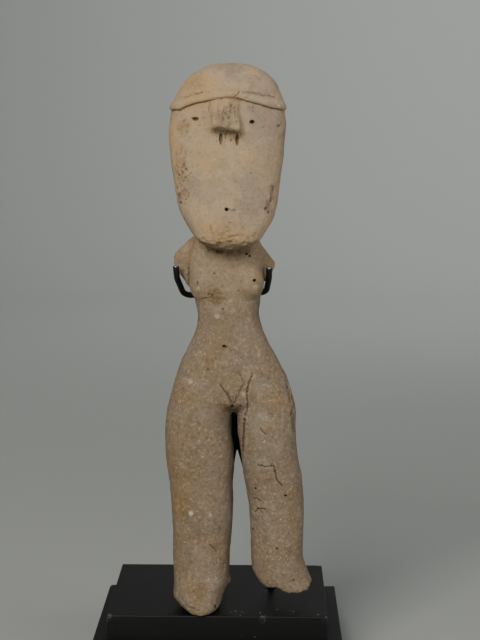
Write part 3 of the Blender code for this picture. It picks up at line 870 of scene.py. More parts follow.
@dataclass(frozen=True)
class Figure:
    """The fired clay figure, worked from one lump and broken at both arms and the right foot."""

    head: Loft = Loft(
        (
            Section(142.9, 4.3, -24.0, 9.3, 8.0, 5.5, 2.2),
            Section(149, 4.0, -22.3, 13.6, 10.0, 8.0, 2.3),
            Section(153, 4.0, -21.2, 16.1, 11.0, 9.5, 2.4),
            Section(158, 3.8, -19.8, 18.5, 11.8, 11.2, 2.4),
            Section(168, 3.3, -17.2, 20.4, 12.6, 13.4, 2.5),
            Section(181, 3.1, -15.2, 22.0, 12.8, 14.4, 2.5),
            Section(194, 3.6, -13.6, 22.2, 12.6, 14.2, 2.5),
            Section(201, 4.0, -12.9, 20.3, 12.2, 13.8, 2.4),
            Section(214.7, 4.5, -12.0, 20.1, 11.6, 13.2, 2.3),
        ),
        bottom_dome=5.2,
        top_dome=14.2,
    )
    trunk: Loft = Loft(
        (
            Section(78.2, 5.2, -14.6, 22.4, 11.0, 11.5, 2.2),
            Section(84, 5.4, -14.5, 23.8, 11.6, 12.0, 2.3),
            Section(91, 5.0, -14.0, 22.0, 11.4, 11.0, 2.3),
            Section(98, 4.6, -13.5, 19.2, 10.6, 9.8, 2.3),
            Section(105, 4.3, -13.0, 15.6, 9.6, 8.6, 2.3),
            Section(111, 4.3, -12.6, 13.3, 8.8, 7.8, 2.2),
            Section(117, 3.9, -12.3, 12.2, 8.4, 7.2, 2.2),
            Section(123, 3.4, -12.0, 13.1, 8.6, 7.0, 2.3),
            Section(130, 2.9, -11.7, 14.0, 9.0, 7.0, 2.4),
            Section(137, 2.6, -11.3, 14.4, 8.6, 7.2, 2.4),
            Section(143, 2.8, -11.0, 13.4, 7.8, 7.4, 2.3),
            Section(149, 3.3, -10.8, 12.5, 7.2, 7.2, 2.1),
            Section(158, 3.4, -12.0, 13.2, 7.0, 7.4, 2.0),
            Section(167, 3.3, -13.4, 15.0, 7.0, 8.2, 2.0),
            Section(178, 3.2, -14.6, 16.0, 7.0, 8.0, 2.0),
        ),
        bottom_dome=7.0,
        top_dome=9.0,
    )
    left_leg: Loft = Loft(
        (
            Section(-2, -6.5, -19.2, 4.6, 12.0, 9.0),
            Section(0, -6.5, -19.2, 6.3, 15.4, 11.0, 2.1),
            Section(1, -6.7, -19.0, 7.6, 15.7, 11.6, 2.1),
            Section(2.7, -7.2, -18.8, 8.9, 15.8, 12.0, 2.1),
            Section(4.5, -7.8, -18.4, 9.8, 15.4, 12.0, 2.1),
            Section(8.5, -6.9, -17.4, 10.7, 14.2, 11.0, 2.1),
            Section(13, -6.6, -16.8, 11.1, 12.2, 10.3, 2.1),
            Section(23, -6.6, -17.0, 11.3, 10.4, 10.3, 2.1),
            Section(38, -6.3, -16.9, 12.1, 10.8, 10.6, 2.1),
            Section(50, -6.7, -16.4, 12.8, 11.4, 11.0, 2.1),
            Section(60, -7.3, -16.0, 13.5, 12.0, 11.4, 2.2),
            Section(70, -8.1, -15.5, 13.2, 12.2, 11.6, 2.2),
            Section(80, -7.7, -15.0, 12.5, 11.8, 11.4, 2.1),
            Section(96, -4.5, -14.0, 10.5, 10.0, 10.0),
        ),
        bottom_dome=1.0,
        top_dome=8.0,
    )
    right_leg: Loft = Loft(
        (
            Section(1, 29.0, -18.8, 10.8, 8.4, 8.4),
            Section(8, 27.2, -18.2, 11.0, 9.2, 9.0),
            Section(12.5, 25.3, -17.5, 11.1, 9.9, 9.7, 2.1),
            Section(18, 23.8, -17.0, 10.6, 10.1, 10.0, 2.1),
            Section(28, 23.5, -16.9, 10.5, 10.2, 10.2, 2.1),
            Section(43, 22.9, -16.5, 11.1, 10.8, 10.6, 2.1),
            Section(53, 21.5, -16.2, 11.7, 11.3, 11.0, 2.1),
            Section(61, 20.2, -15.9, 11.2, 11.7, 11.2, 2.2),
            Section(70, 19.2, -15.5, 11.3, 12.0, 11.4, 2.2),
            Section(80, 18.8, -15.0, 11.6, 11.6, 11.2, 2.1),
            Section(96, 13.5, -14.0, 10.2, 10.0, 10.0),
        ),
        bottom_dome=1.0,
        top_dome=8.0,
    )
    left_arm_stub: Loft = Loft(
        (
            Section(125.3, -10.2, -6.6, 2.0, 2.5, 2.6),
            Section(130, -10.1, -6.6, 4.5, 2.7, 2.8),
            Section(135.5, -10.7, -6.7, 7.6, 2.8, 3.0),
            Section(140, -10.1, -7.0, 7.4, 3.2, 3.4),
            Section(143.5, -8.5, -7.4, 5.8, 3.6, 3.8),
            Section(148, -5.7, -8.2, 4.1, 3.6, 4.0),
        ),
        bottom_dome=2.5,
        top_dome=3.0,
        around=64,
    )
    right_arm_stub: Loft = Loft(
        (
            Section(127.2, 15.0, -6.6, 2.0, 2.5, 2.6),
            Section(131, 15.4, -6.6, 4.6, 2.7, 2.8),
            Section(136, 15.9, -6.7, 6.5, 2.8, 3.0),
            Section(140, 14.2, -7.0, 5.4, 3.2, 3.4),
            Section(144, 12.1, -7.4, 4.5, 3.6, 3.8),
            Section(149.5, 11.6, -8.2, 4.2, 3.6, 4.0),
        ),
        bottom_dome=2.5,
        top_dome=3.0,
        around=64,
    )
    breasts: tuple[Lump, ...] = (
        Lump(-5.2, -14.2, 129.0, 6.4, 7.5, 8.0),
        Lump(11.4, -14.2, 129.5, 6.4, 8.0, 8.2),
    )
    buttocks: tuple[Lump, ...] = (
        Lump(-6.6, -10.4, 85.0, 11.0, 8.8, 14.0),
        Lump(17.2, -10.4, 85.0, 11.0, 8.8, 14.0),
    )
    foot_knob: Lump = Lump(3.5, -17.5, 9.9, 2.0, 3.6, 1.8)
    stump_break: tuple[Place, ...] = (
        (8, 21), (15.0, 13.0), (17.2, 10.2), (19.8, 8.8), (23.4, 9.2), (26, 7.9), (29, 7.0), (32.5, 6.8),
        (35.6, 7.8), (37.6, 9.8), (44, 19),
    )
    under_floor: float = 12.0
    reach: float = 60.0

    # The headband: its lower lip runs through these places, level round the back
    lip: tuple[Place, ...] = (
        (-19.5, 196.4), (-14.4, 196.6), (-10.8, 198.2), (-6.1, 199.4), (-2.1, 200.4), (3.0, 201.2),
        (7.5, 200.8), (11.9, 199.4), (16.6, 198.2), (20.7, 197.2), (24.5, 196.6),
    )
    band_top: float = 202.6
    band_proud: float = 1.0
    band_root: float = 2.0
    lip_roll: float = 1.25
    lip_height: float = 3.4
    lip_undercut: float = 0.6

    # The nose: a wedge (left and right x, left and right level, level of its root, how proud) at its top and bottom
    nose: tuple[tuple[float, ...], ...] = (
        (-2.2, 7.2, 201.5, 201.5, 201.5, 1.4),
        (-2.4, 8.8, 190.2, 188.8, 185.0, 4.8),
    )
    nose_root: float = 4.0

    voxel: float = 0.81
    smoothing: int = 7
    shrinkage: float = 0.05
    fine_grain: float = 1.4

    holes: tuple[Hole, ...] = (
        Hole(-8.4, 192.9, 2.6, 1.5, 1.8, lip=0.12, soil=0.6),
        Hole(-9.6, 193.3, 1.3, 0.7, 0.5, soil=0.45),
        Hole(13.0, 191.9, 2.0, 1.6, 2.0, lip=0.15, soil=0.65),
        Hole(1.2, 185.5, 1.5, 5.0, 1.3, lip=0.1, soil=0.56),
        Hole(7.4, 185.2, 1.5, 5.0, 1.4, lip=0.12, soil=0.6),
        Hole(3.0, 186.4, 0.6, 2.6, 0.3, soil=0.35),
        Hole(3.5, 159.0, 1.5, 1.4, 2.4, lip=0.1, soil=0.85),
        Hole(2.4, 105.2, 1.6, 1.3, 1.5, lip=0.06, soil=0.6),
        Hole(3.3, 105.0, 0.9, 0.8, 0.9, soil=0.6),
        Hole(14.0, 130.9, 1.35, 1.2, 2.6, lip=0.06),
        Hole(-8.0, 129.6, 0.7, 2.2, 0.5, soil=0.55),
        Hole(-12.6, 164.4, 3.5, 3.7, 0.22, soil=0.1, ring=0.34),
        Hole(-14.9, 164.0, 1.3, 1.8, 0.5, soil=0.6),
        Hole(-15.6, 166.8, 1.0, 1.6, 0.4, soil=0.45),
        Hole(-14.2, 161.2, 1.2, 1.4, 0.7, soil=0.65),
        Hole(-12.0, 174.0, 1.0, 0.8, 0.4, soil=0.4),
        Hole(18.2, 159.2, 1.5, 1.6, 0.6, soil=0.6),
        Hole(19.4, 157.8, 1.0, 1.4, 0.5, soil=0.6),
        Hole(20.2, 162.4, 1.2, 3.0, 0.5, soil=0.5),
        Hole(21.0, 166.4, 0.9, 2.4, 0.4, soil=0.5),
        Hole(12.6, 172.6, 0.7, 0.8, 0.3, soil=0.45),
        Hole(23.2, 190.4, 1.1, 1.3, 0.4, soil=0.5),
        Hole(4.6, 154.2, 0.6, 0.6, 0.3, soil=0.5),
        Hole(-2.6, 153.0, 0.6, 0.6, 0.3, soil=0.45),
        Hole(10.8, 141.0, 1.4, 0.9, 0.8),
        Hole(12.1, 140.2, 1.0, 0.9, 0.6),
        Hole(1.9, 119.6, 0.9, 0.8, 0.5, soil=0.7),
        Hole(7.9, 126.8, 0.8, 0.9, 0.35, soil=0.5),
        Hole(-1.5, 133.5, 1.3, 0.8, 0.3, soil=0.45),
        Hole(5.7, 81.9, 1.5, 2.0, 1.0, soil=0.7),
        Hole(8.8, 81.9, 1.1, 1.4, 0.5, soil=0.6),
        Hole(26.6, 46.8, 1.2, 1.0, 0.9),
        Hole(14.9, 49.2, 1.0, 1.2, 0.6),
        Hole(13.8, 31.9, 0.9, 1.1, 0.6),
        Hole(23.4, 25.5, 1.3, 0.9, 0.6, soil=0.7),
        Hole(-0.9, 2.6, 0.8, 2.0, 0.6),
        Hole(30.0, 12.4, 1.4, 1.1, 0.35, soil=0.35),
        Hole(-13.3, 207.2, 1.8, 2.4, 0.2, soil=0.26),
    )
    cracks: tuple[Crack, ...] = (
        Crack(((4.3, 159.0), (6.6, 158.8)), 0.9, 0.35, soil=0.4),
        Crack(((8.2, 203.2), (7.0, 201.8), (6.2, 201.2)), 0.6, 0.5, soil=0.7),
        Crack(((9.6, 156.4), (9.0, 153.6), (10.2, 151.4)), 0.5, 0.15, soil=0.12),
        Crack(((-10.0, 172.6), (-12.2, 171.2), (-13.2, 169.4)), 0.5, 0.28, soil=0.3),
        Crack(((-13.0, 175.8), (-14.0, 174.0), (-13.4, 172.4)), 0.5, 0.28, soil=0.26),
        Crack(((-14.9, 171.6), (-15.3, 169.6), (-14.6, 168.2)), 0.55, 0.3, soil=0.34),
        Crack(((-15.6, 200.9), (-11.0, 201.5), (-6.2, 202.9)), 0.8, 0.28, soil=0.22),
        Crack(((9.6, 203.0), (13.0, 202.8), (17.5, 202.0), (21.5, 201.2)), 0.8, 0.4, soil=0.34),
        Crack(((-3.0, 198.8), (-3.6, 195.8)), 0.5, 0.2, soil=0.2),
        Crack(((0.2, 198.6), (0.0, 195.4), (-0.4, 192.8)), 0.45, 0.22, soil=0.12),
        Crack(((2.2, 197.2), (1.8, 193.6), (2.0, 191.4)), 0.45, 0.25, soil=0.16),
        Crack(((4.4, 199.2), (4.8, 196.0), (4.3, 193.2)), 0.45, 0.22, soil=0.14),
        Crack(((6.4, 197.4), (6.6, 194.6), (7.0, 192.2)), 0.5, 0.25, soil=0.2),
        Crack(((21.4, 200.4), (23.0, 199.0), (23.8, 196.9)), 0.6, -0.4, soil=0.0),
        Crack(((-6.1, 123.5), (-3.4, 124.1), (-1.8, 125.0)), 0.5, 0.45, soil=0.75),
        Crack(((-11.8, 134.6), (-12.0, 131.3), (-12.1, 127.6)), 1.0, 0.7, soil=0.5),
        Crack(((-4.3, 96.2), (0.6, 96.4), (5.4, 98.0)), 0.8, 0.16, soil=0.12),
        Crack(((1.0, 90.4), (3.7, 86.8), (5.8, 83.0)), 0.8, 0.5, soil=0.42),
        Crack(((3.2, 87.9), (5.3, 84.2)), 0.6, 0.35, soil=0.35),
        Crack(((10.2, 91.1), (8.5, 87.8), (6.5, 83.6)), 0.8, 0.42, soil=0.4),
        Crack(((6.1, 87.4), (5.9, 83.4)), 0.55, 0.3, soil=0.35),
        Crack(((7.4, 86.7), (6.3, 83.4)), 0.5, 0.3, soil=0.35),
        Crack(((13.3, 94.5), (12.0, 90.7), (11.5, 88.2)), 0.75, 0.6, soil=0.75, rim=0.25),
        Crack(((11.5, 88.0), (11.6, 80.4), (10.6, 78.0)), 0.55, 0.5, soil=0.6, rim=0.3),
        Crack(((10.5, 76.5), (10.2, 73.9), (10.1, 69.4), (9.8, 63.5)), 0.9, 0.8, soil=0.8, rim=0.25),
        Crack(((8.7, 94.4), (9.8, 92.4)), 0.5, 0.25, soil=0.25),
        Crack(((16.8, 73.6), (17.6, 72.4), (18.9, 71.4)), 0.6, 0.5, soil=0.65),
        Crack(((26.4, 90.8), (27.6, 86.8), (28.4, 83.0)), 0.8, 0.4, soil=0.4, rim=0.3),
        Crack(((28.8, 79.8), (29.5, 75.4), (29.7, 70.8)), 0.9, 0.45, soil=0.5, rim=0.3),
        Crack(
            ((15.9, 59.2), (18.2, 58.7), (21.9, 58.9), (22.6, 56.0), (23.1, 53.3), (25.3, 50.9)),
            0.6, 0.5, soil=0.6, rim=0.2,
        ),
        Crack(((13.9, 44.7), (15.6, 45.1), (16.8, 44.2)), 0.55, 0.5, soil=0.7),
        Crack(((14.7, 39.4), (16.4, 41.2), (18.4, 41.4)), 0.65, 0.6, soil=0.75, rim=0.2),
        Crack(((16.2, 40.9), (17.6, 39.6)), 0.5, 0.4, soil=0.6),
        Crack(((-2.8, 26.6), (-1.7, 25.3), (-0.4, 23.4)), 0.55, 0.45, soil=0.5),
        Crack(((-15.6, 7.2), (-11.4, 3.6), (-7.0, 2.4)), 0.7, 0.25, soil=0.14),
    )
    rough_patches: tuple[RoughPatch, ...] = (
        RoughPatch(Patch(3.4, -31.0, 195.2, 6.6, 8.0, 8.4), 0.55, 1.15, upright=0.6),
        RoughPatch(Patch(4.2, -29.0, 146.4, 14.5, 11.0, 6.0), 0.5, 1.35, level=0.4),
        RoughPatch(Patch(-4.0, -26.0, 205.5, 16.0, 12.0, 5.0), 0.26, 1.7, level=0.45),
        RoughPatch(Patch(-13.0, -25.0, 176.0, 5.5, 6.0, 9.0), 0.26, 1.5),
        RoughPatch(Patch(-1.0, -20.3, 124.4, 4.6, 4.5, 4.4), 0.5, 1.3),
        RoughPatch(Patch(4.0, -20.0, 112.0, 11.0, 8.0, 11.0), 0.16, 2.2, upright=0.25),
        RoughPatch(Patch(-16.5, -7.0, 136.0, 4.0, 6.0, 8.0), 0.28, 2.0),
        RoughPatch(Patch(21.0, -7.0, 136.5, 4.0, 6.0, 6.0), 0.28, 2.0),
        RoughPatch(Patch(28.5, -18.0, 8.5, 16.0, 15.0, 5.5), 0.3, 1.7),
        RoughPatch(Patch(-7.0, -26.0, 4.0, 13.0, 13.0, 8.0), 0.22, 1.7),
        RoughPatch(Patch(28.5, -19.0, 81.0, 4.0, 8.0, 12.0), 0.34, 1.7, upright=0.6),
        RoughPatch(Patch(22.0, -27.0, 36.0, 10.0, 8.0, 20.0), 0.14, 1.3),
        RoughPatch(Patch(-8.0, -27.0, 60.0, 10.0, 8.0, 24.0), 0.12, 1.3),
    )
    ochre_patches: tuple[tuple[Patch, float], ...] = (
        (Patch(-13.5, -24.0, 190.0, 3.4, 5.0, 4.5), 0.7),
        (Patch(-14.0, -25.0, 176.0, 3.6, 6.0, 8.5), 0.5),
        (Patch(1.8, -31.5, 149.2, 5.4, 6.0, 5.4), 0.66),
        (Patch(9.0, -31.0, 148.6, 6.0, 6.0, 2.0), 0.3),
        (Patch(-1.0, -20.3, 124.6, 3.8, 4.0, 3.6), 0.8),
        (Patch(-14.8, -24.5, 42.8, 4.4, 8.0, 6.5), 0.85),
        (Patch(-7.4, -31.0, 8.5, 3.4, 6.0, 5.2), 0.6),
        (Patch(28.8, -19.0, 80.5, 2.6, 8.0, 10.5), 0.35),
        (Patch(5.7, -24.5, 81.0, 3.0, 4.0, 2.6), 0.6),
        (Patch(-9.0, -23.0, 97.0, 7.0, 6.0, 8.0), 0.35),
        (Patch(6.5, -27.0, 200.8, 5.0, 4.0, 2.0), 0.4),
        (Patch(3.4, -32.0, 195.0, 6.4, 6.0, 6.4), 0.3),
        (Patch(-10.5, -24.0, 206.5, 7.0, 9.0, 4.5), 0.4),
        (Patch(-13.2, -25.0, 169.5, 3.4, 6.0, 5.0), 0.45),
        (Patch(-16.0, -15.0, 62.0, 6.0, 12.0, 16.0), 0.4),
        (Patch(-10.0, -26.0, 84.0, 5.0, 6.0, 6.0), 0.45),
        (Patch(22.0, -25.0, 86.0, 5.0, 6.0, 6.0), 0.4),
        (Patch(20.0, -25.0, 74.0, 5.0, 6.0, 4.0), 0.4),
        (Patch(30.5, -20.0, 14.0, 3.5, 8.0, 3.0), 0.5),
    )
    # Warm clay, and a painted warm glow on the lit left edge of the face.
    warm_and_glow_patches: tuple[tuple[Patch, float], ...] = (
        (Patch(-9.0, -24.0, 206.0, 10.0, 12.0, 7.0), 0.9),
        # Painted warm glow along the face's left edge.
        (Patch(-17.0, -18.0, 186.0, 3.4, 12.0, 18.0), 0.6),
        (Patch(2.5, -31.0, 151.0, 11.0, 8.0, 6.5), 0.85),
        (Patch(-4.0, -30.0, 180.0, 9.0, 8.0, 7.0), 0.4),
    )
    # Grey clay, and painted shade on the figure's right.
    grey_and_shade_patches: tuple[tuple[Patch, float], ...] = (
        # These two paint the shade on the right of the face and cap.
        (Patch(17.0, -24.0, 188.0, 9.0, 14.0, 11.0), 0.85),
        (Patch(17.0, -18.0, 206.0, 8.0, 14.0, 7.0), 0.9),
        (Patch(5.0, -20.0, 212.5, 8.0, 14.0, 2.6), 0.6),
        (Patch(-5.0, -30.0, 166.0, 12.0, 8.0, 5.5), 0.6),
        # These two paint the shade on the right of the face.
        (Patch(15.0, -28.0, 167.0, 9.0, 10.0, 13.0), 0.75),
        (Patch(20.0, -22.0, 178.0, 7.0, 15.0, 22.0), 0.7),
        (Patch(-5.0, -30.0, 195.0, 4.0, 6.0, 6.0), 0.5),
        (Patch(18.5, -26.0, 89.0, 6.0, 8.0, 5.0), 0.8),
        (Patch(16.5, -27.0, 77.0, 5.0, 8.0, 6.0), 0.8),
        (Patch(-13.0, -22.0, 95.0, 5.0, 8.0, 6.0), 0.7),
        (Patch(-7.0, -20.0, 132.0, 6.0, 6.0, 7.0), 0.6),
        (Patch(22.0, -27.0, 38.0, 6.0, 8.0, 14.0), 0.6),
        (Patch(-8.0, -27.0, 22.0, 7.0, 8.0, 8.0), 0.5),
    )
    # Dirt, and painted shadow: under the chin, under the nose and under the right breast.
    soil_and_shadow_patches: tuple[tuple[Patch, float], ...] = (
        # Painted shadow under the chin.
        (Patch(4.6, -19.0, 145.4, 12.0, 8.0, 5.0), 0.95),
        (Patch(28.8, -19.0, 80.5, 1.6, 8.0, 10.0), 0.22),
        # These four paint the shadow under the nose.
        (Patch(4.4, -29.0, 186.4, 6.0, 4.0, 2.4), 0.28),
        (Patch(2.4, -30.0, 188.2, 8.0, 5.0, 2.4), 0.46),
        (Patch(-3.4, -27.5, 188.9, 2.2, 4.0, 1.3), 0.36),
        (Patch(9.4, -28.0, 187.8, 1.6, 4.0, 1.2), 0.3),
        (Patch(-1.0, -21.0, 124.6, 3.4, 4.0, 3.2), 0.4),
        (Patch(-7.4, -31.0, 8.8, 3.2, 6.0, 4.2), 0.3),
        # These two paint the shade under the right breast.
        (Patch(18.5, -21.0, 126.5, 3.5, 7.0, 5.0), 0.3),
        (Patch(16.0, -16.0, 118.0, 3.5, 9.0, 8.0), 0.25),
        (Patch(18.8, -26.0, 160.8, 1.3, 6.0, 3.2), 0.55),
        (Patch(20.6, -24.0, 166.0, 1.1, 6.0, 4.5), 0.45),
        (Patch(-14.6, -25.0, 163.5, 1.1, 6.0, 2.4), 0.5),
        # Painted shadow under the chin's edge.
        (Patch(0.6, -31.5, 145.6, 1.6, 5.0, 2.0), 0.3),
    )
    # Sooty grey clay, and painted shade under the right breast.
    smoke_and_shade_patches: tuple[tuple[Patch, float], ...] = (
        (Patch(3.4, -32.0, 195.0, 6.8, 6.0, 8.0), 0.5),
        (Patch(1.0, -24.5, 74.5, 4.5, 5.0, 6.5), 0.5),
        # Painted shade under the right breast.
        (Patch(14.5, -16.0, 121.5, 4.0, 9.0, 7.0), 0.4),
        (Patch(8.0, -14.0, 55.0, 3.0, 14.0, 22.0), 0.35),
    )
    chalk_patches: tuple[tuple[Patch, float], ...] = (
        (Patch(-10.5, -27.2, 39.6, 1.15, 3.0, 1.15), 1.0),
        (Patch(-2.8, -27.2, 39.0, 0.8, 3.0, 0.8), 0.6),
        (Patch(-10.8, -23.0, 91.2, 1.1, 3.0, 0.9), 0.7),
        (Patch(-5.3, -23.7, 94.9, 0.7, 3.0, 0.6), 0.6),
        (Patch(10.2, -25.5, 87.1, 0.8, 3.0, 0.8), 0.7),
        (Patch(18.1, -27.3, 68.6, 0.6, 3.0, 0.6), 0.7),
        (Patch(4.7, -20.6, 122.9, 0.7, 3.0, 0.6), 0.6),
        (Patch(-0.2, -20.4, 116.8, 1.2, 3.0, 0.9), 0.6),
        (Patch(-7.6, -21.0, 128.1, 0.7, 3.0, 0.8), 0.6),
        (Patch(14.6, -20.7, 128.6, 1.3, 3.0, 1.0), 0.6),
        (Patch(-1.2, -28.3, 178.2, 0.5, 3.0, 0.4), 0.7),
        (Patch(8.8, -27.9, 180.3, 0.8, 3.0, 0.5), 0.6),
        (Patch(22.0, -18.0, 199.8, 0.7, 7.0, 1.1), 0.6),
        (Patch(23.3, -18.0, 197.8, 0.6, 7.0, 1.2), 0.6),
    )
    grit_patches: tuple[tuple[Patch, float], ...] = (
        (Patch(22.0, -27.0, 30.0, 9.0, 9.0, 24.0), 0.9),
        (Patch(27.0, -26.0, 10.0, 12.0, 9.0, 6.0), 0.9),
        (Patch(-8.0, -27.0, 58.0, 9.0, 9.0, 14.0), 0.6),
        (Patch(-7.0, -30.0, 6.0, 9.0, 9.0, 8.0), 0.6),
        (Patch(-12.0, -24.0, 90.0, 8.0, 9.0, 8.0), 0.5),
    )
    refine_margins: tuple[float, ...] = (1.25, 0.6)
    # How much paler the chest is painted, as painted light where the key falls on it.
    chest_painted_light: float = 0.34
    chest_light_line: tuple[float, float] = (114.0, 127.0)
    chin_line: tuple[float, float] = (141.0, 147.0)
    brow_line: tuple[float, float] = (190.0, 193.0)
    ragged: Unevenness = Unevenness(11, 1.1, layers=2)
    broad: Unevenness = Unevenness(17, 3.2, layers=2)
    dents: tuple[tuple[float, Unevenness], ...] = (
        (0.34, Unevenness(2, 15.0, layers=2)),
        (0.15, Unevenness(5, 4.6, layers=2)),
        (0.06, Unevenness(8, 1.5, layers=2)),
    )
    nose_sides: tuple[float, float] = (-2.6, 9.0)
    nose_front: float = -27.6
    lip_waver: Unevenness = Unevenness(31, 6.0, layers=2)
    lip_strength: Unevenness = Unevenness(37, 9.0)
    hollow_rounds: int = 4
    # How dark the hollows are painted, with dirt and painted shade.
    hollow_shade_strength: float = 0.55
    hollow_range: tuple[float, float] = (0.06, 0.5)
    pit_count: int = 110
    pit_seed: int = 41
    pit_radius: tuple[float, float] = (0.35, 0.8)

    def band_shell(self) -> Shell:
        """Give the headband: a strip of wedge section carried round the head, widest at its lower lip.

        Returns:
            The strip's closed surface, rooted in the head.
        """
        angles = np.linspace(0, 2 * math.pi, 144, endpoint=False)
        upper, out = (grid[0] for grid in self.head.ring_points(np.array([self.band_top]), angles))
        levels = self.lip_level(upper)
        lower = np.concatenate(
            [self.head.ring_points(np.array([z]), np.array([a]))[0][0] for z, a in zip(levels, angles)]
        )
        corners = (
            lower + out * self.band_proud,
            upper + out * self.band_proud / 4,
            upper - out * self.band_root,
            lower - out * self.band_root,
        )
        return ring_shell(np.stack(corners, axis=1), closed=True)

    def lip_level(self, points: Array) -> Array:
        """Give the height of the band's lower lip at each point: by its x in front, level behind.

        Args:
            points: (n, 3) points.

        Returns:
            (n,) heights.
        """
        line = np.array(self.lip)
        ahead = np.interp(points[:, 0], line[:, 0], line[:, 1])
        level = line[[0, -1], 1].mean()
        behind = smooth_step(-14.0, -8.0, points[:, 1])
        return ahead * (1 - behind) + level * behind

    def nose_shell(self) -> Shell:
        """Give the nose: a prism whose four-cornered cuts lie one above the other, rooted in the face.

        Returns:
            The closed surface.
        """
        rings = []
        for left, right, left_level, right_level, root_level, proud in self.nose:
            face = self.head.front_at((left + right) / 2, left_level)
            front, root = face - proud, face + self.nose_root
            rings.append(
                [(left, front, left_level), (right, front, right_level), (right, root, root_level),
                 (left, root, root_level)]
            )
        return ring_shell(np.array(rings, float))

    def underside_tool(self, stand: Stand) -> bpy.types.Object:
        """Make what is cut away under the feet: a level table on the left, the ragged break on the right.

        It is the outline (x, z) of both, carried along y from -reach to reach.

        Args:
            stand: where the figure stands.

        Returns:
            The tool.
        """
        floor = -self.under_floor
        split = self.stump_break[0][0]
        profile = [(-self.reach, floor), (-self.reach, 0.0), (split, 0.0), *self.stump_break]
        profile += [(self.reach, self.stump_break[-1][1]), (self.reach, floor)]
        ends = [[(x, y, z) for x, z in profile] for y in (-self.reach, self.reach)]
        return mesh_object("underside_tool", [ring_shell(np.array(ends)).placed(stand)])

    def build(self, stand: Stand, clay: bpy.types.Material) -> bpy.types.Object:
        """Build the figure.

        Args:
            stand: where it stands.
            clay: its material.

        Returns:
            The finished piece.
        """
        lofts = (self.head, self.trunk, self.left_leg, self.right_leg, self.left_arm_stub, self.right_arm_stub)
        shells = [loft.shell() for loft in lofts]
        shells += [lump.shell() for lump in (*self.breasts, *self.buttocks, self.foot_knob)]
        shells += [self.band_shell(), self.nose_shell()]
        figure = mesh_object("clay_body", [shell.placed(stand) for shell in shells])
        self.knead(figure, stand, rounds=0)
        cut_with(figure, self.underside_tool(stand))
        self.knead(figure, stand, rounds=self.smoothing)
        for margin in self.refine_margins:
            self.refine(figure, stand, margin)
        self.work(figure, stand)
        figure.data.shade_smooth()
        figure.data.materials.clear()
        figure.data.materials.append(clay)
        return figure

    def knead(self, figure: bpy.types.Object, stand: Stand, rounds: int) -> None:
        """Work all shells into one even skin, and smooth it.

        Args:
            figure: the figure.
            stand: where it stands.
            rounds: how many rounds of smoothing it gets.
        """
        skin = figure.modifiers.new("one_skin", "REMESH")
        skin.mode = "VOXEL"
        skin.voxel_size = self.voxel * stand.unit
        if rounds:
            thumbed = figure.modifiers.new("thumbed", "SMOOTH")
            thumbed.factor = 0.5
            thumbed.iterations = rounds
        settle(figure)

    def refine(self, figure: bpy.types.Object, stand: Stand, margin: float) -> None:
        """Halve the faces of the front that lie near a hole, a crack or the band's lip.

        Args:
            figure: the figure.
            stand: where it stands.
            margin: how far past a mark to go, in units.
        """
        skin = self.skin_of(figure, stand)
        places = skin.seen_from_front
        near = np.zeros(len(places), bool)
        for hole in self.holes:
            size = max(hole.width, hole.height) / 2
            near |= np.hypot(places[:, 0] - hole.x, places[:, 1] - hole.z) < size + margin
        for crack in self.cracks:
            near |= distance_to_route(places, crack.route) < margin
        for rough in self.rough_patches:
            if rough.grain < self.fine_grain and margin > 1:
                near |= rough.region.share(skin.points, np.zeros(len(places))) > 0.1
        near &= skin.normals[:, 1] < 0.1
        rise = skin.points[:, 2] - self.lip_level(skin.points)
        near |= (np.abs(rise) < margin) & (skin.points[:, 2] > self.brow_line[0])
        work = bmesh.new()
        work.from_mesh(figure.data)
        work.edges.ensure_lookup_table()
        chosen = np.flatnonzero(near[edge_ends(figure)].all(axis=1))
        bmesh.ops.subdivide_edges(work, edges=[work.edges[i] for i in chosen], cuts=1, use_grid_fill=True)
        work.to_mesh(figure.data)
        work.free()

    @staticmethod
    def skin_of(figure: bpy.types.Object, stand: Stand) -> ClaySkin:
        """Read the figure's surface.

        Args:
            figure: the figure.
            stand: where it stands.

        Returns:
            The surface, in figure units.
        """
        normals = np.empty(len(figure.data.vertices) * 3)
        figure.data.vertices.foreach_get("normal", normals)
        return ClaySkin(stand.units(vertex_places(figure)), normals.reshape(-1, 3))

    def work(self, figure: bpy.types.Object, stand: Stand) -> None:
        """Work the surface by hand and by age, and store its marks on the mesh.

        Args:
            figure: the figure.
            stand: where it stands.
        """
        skin = self.skin_of(figure, stand)
        self.dent(skin)
        self.roll_lip(skin)
        ragged, broad = self.ragged.at(skin.points), self.broad.at(skin.points)
        for rough in self.rough_patches:
            rough.work(skin, broad)
        self.pit(skin, ragged)
        for mark in (*self.cracks, *self.holes):
            mark.work(skin, ragged)
        self.part_body(skin, broad)
        for name, patches in (
            ("ochre", self.ochre_patches), ("warm", self.warm_and_glow_patches), ("cool", self.grey_and_shade_patches),
            ("smoke", self.smoke_and_shade_patches), ("chalk", self.chalk_patches), ("grit", self.grit_patches),
        ):
            edge = ragged if name == "chalk" else broad
            for patch, strength in patches:
                skin.stain(name, strength * patch.share(skin.points, edge))
        for patch, strength in self.soil_and_shadow_patches:
            skin.stain("soil", strength * patch.share(skin.points, broad) * (0.7 + 0.5 * ragged))
        # Painted shade: clay that faces down is darkened as if in shadow.
        skin.stain("soil", 0.5 * smooth_step(0.45, 0.95, -skin.normals[:, 2]))
        skin.points[:, 2] = np.maximum(skin.points[:, 2], 0.0)
        # Dirt and painted shade in the hollows.
        skin.stain("soil", self.hollows(figure, skin))
        figure.data.vertices.foreach_set("co", stand.metres(skin.points).ravel())
        for name, values in skin.marks.items():
            store_mark(figure, name, values)
        figure.data.update()

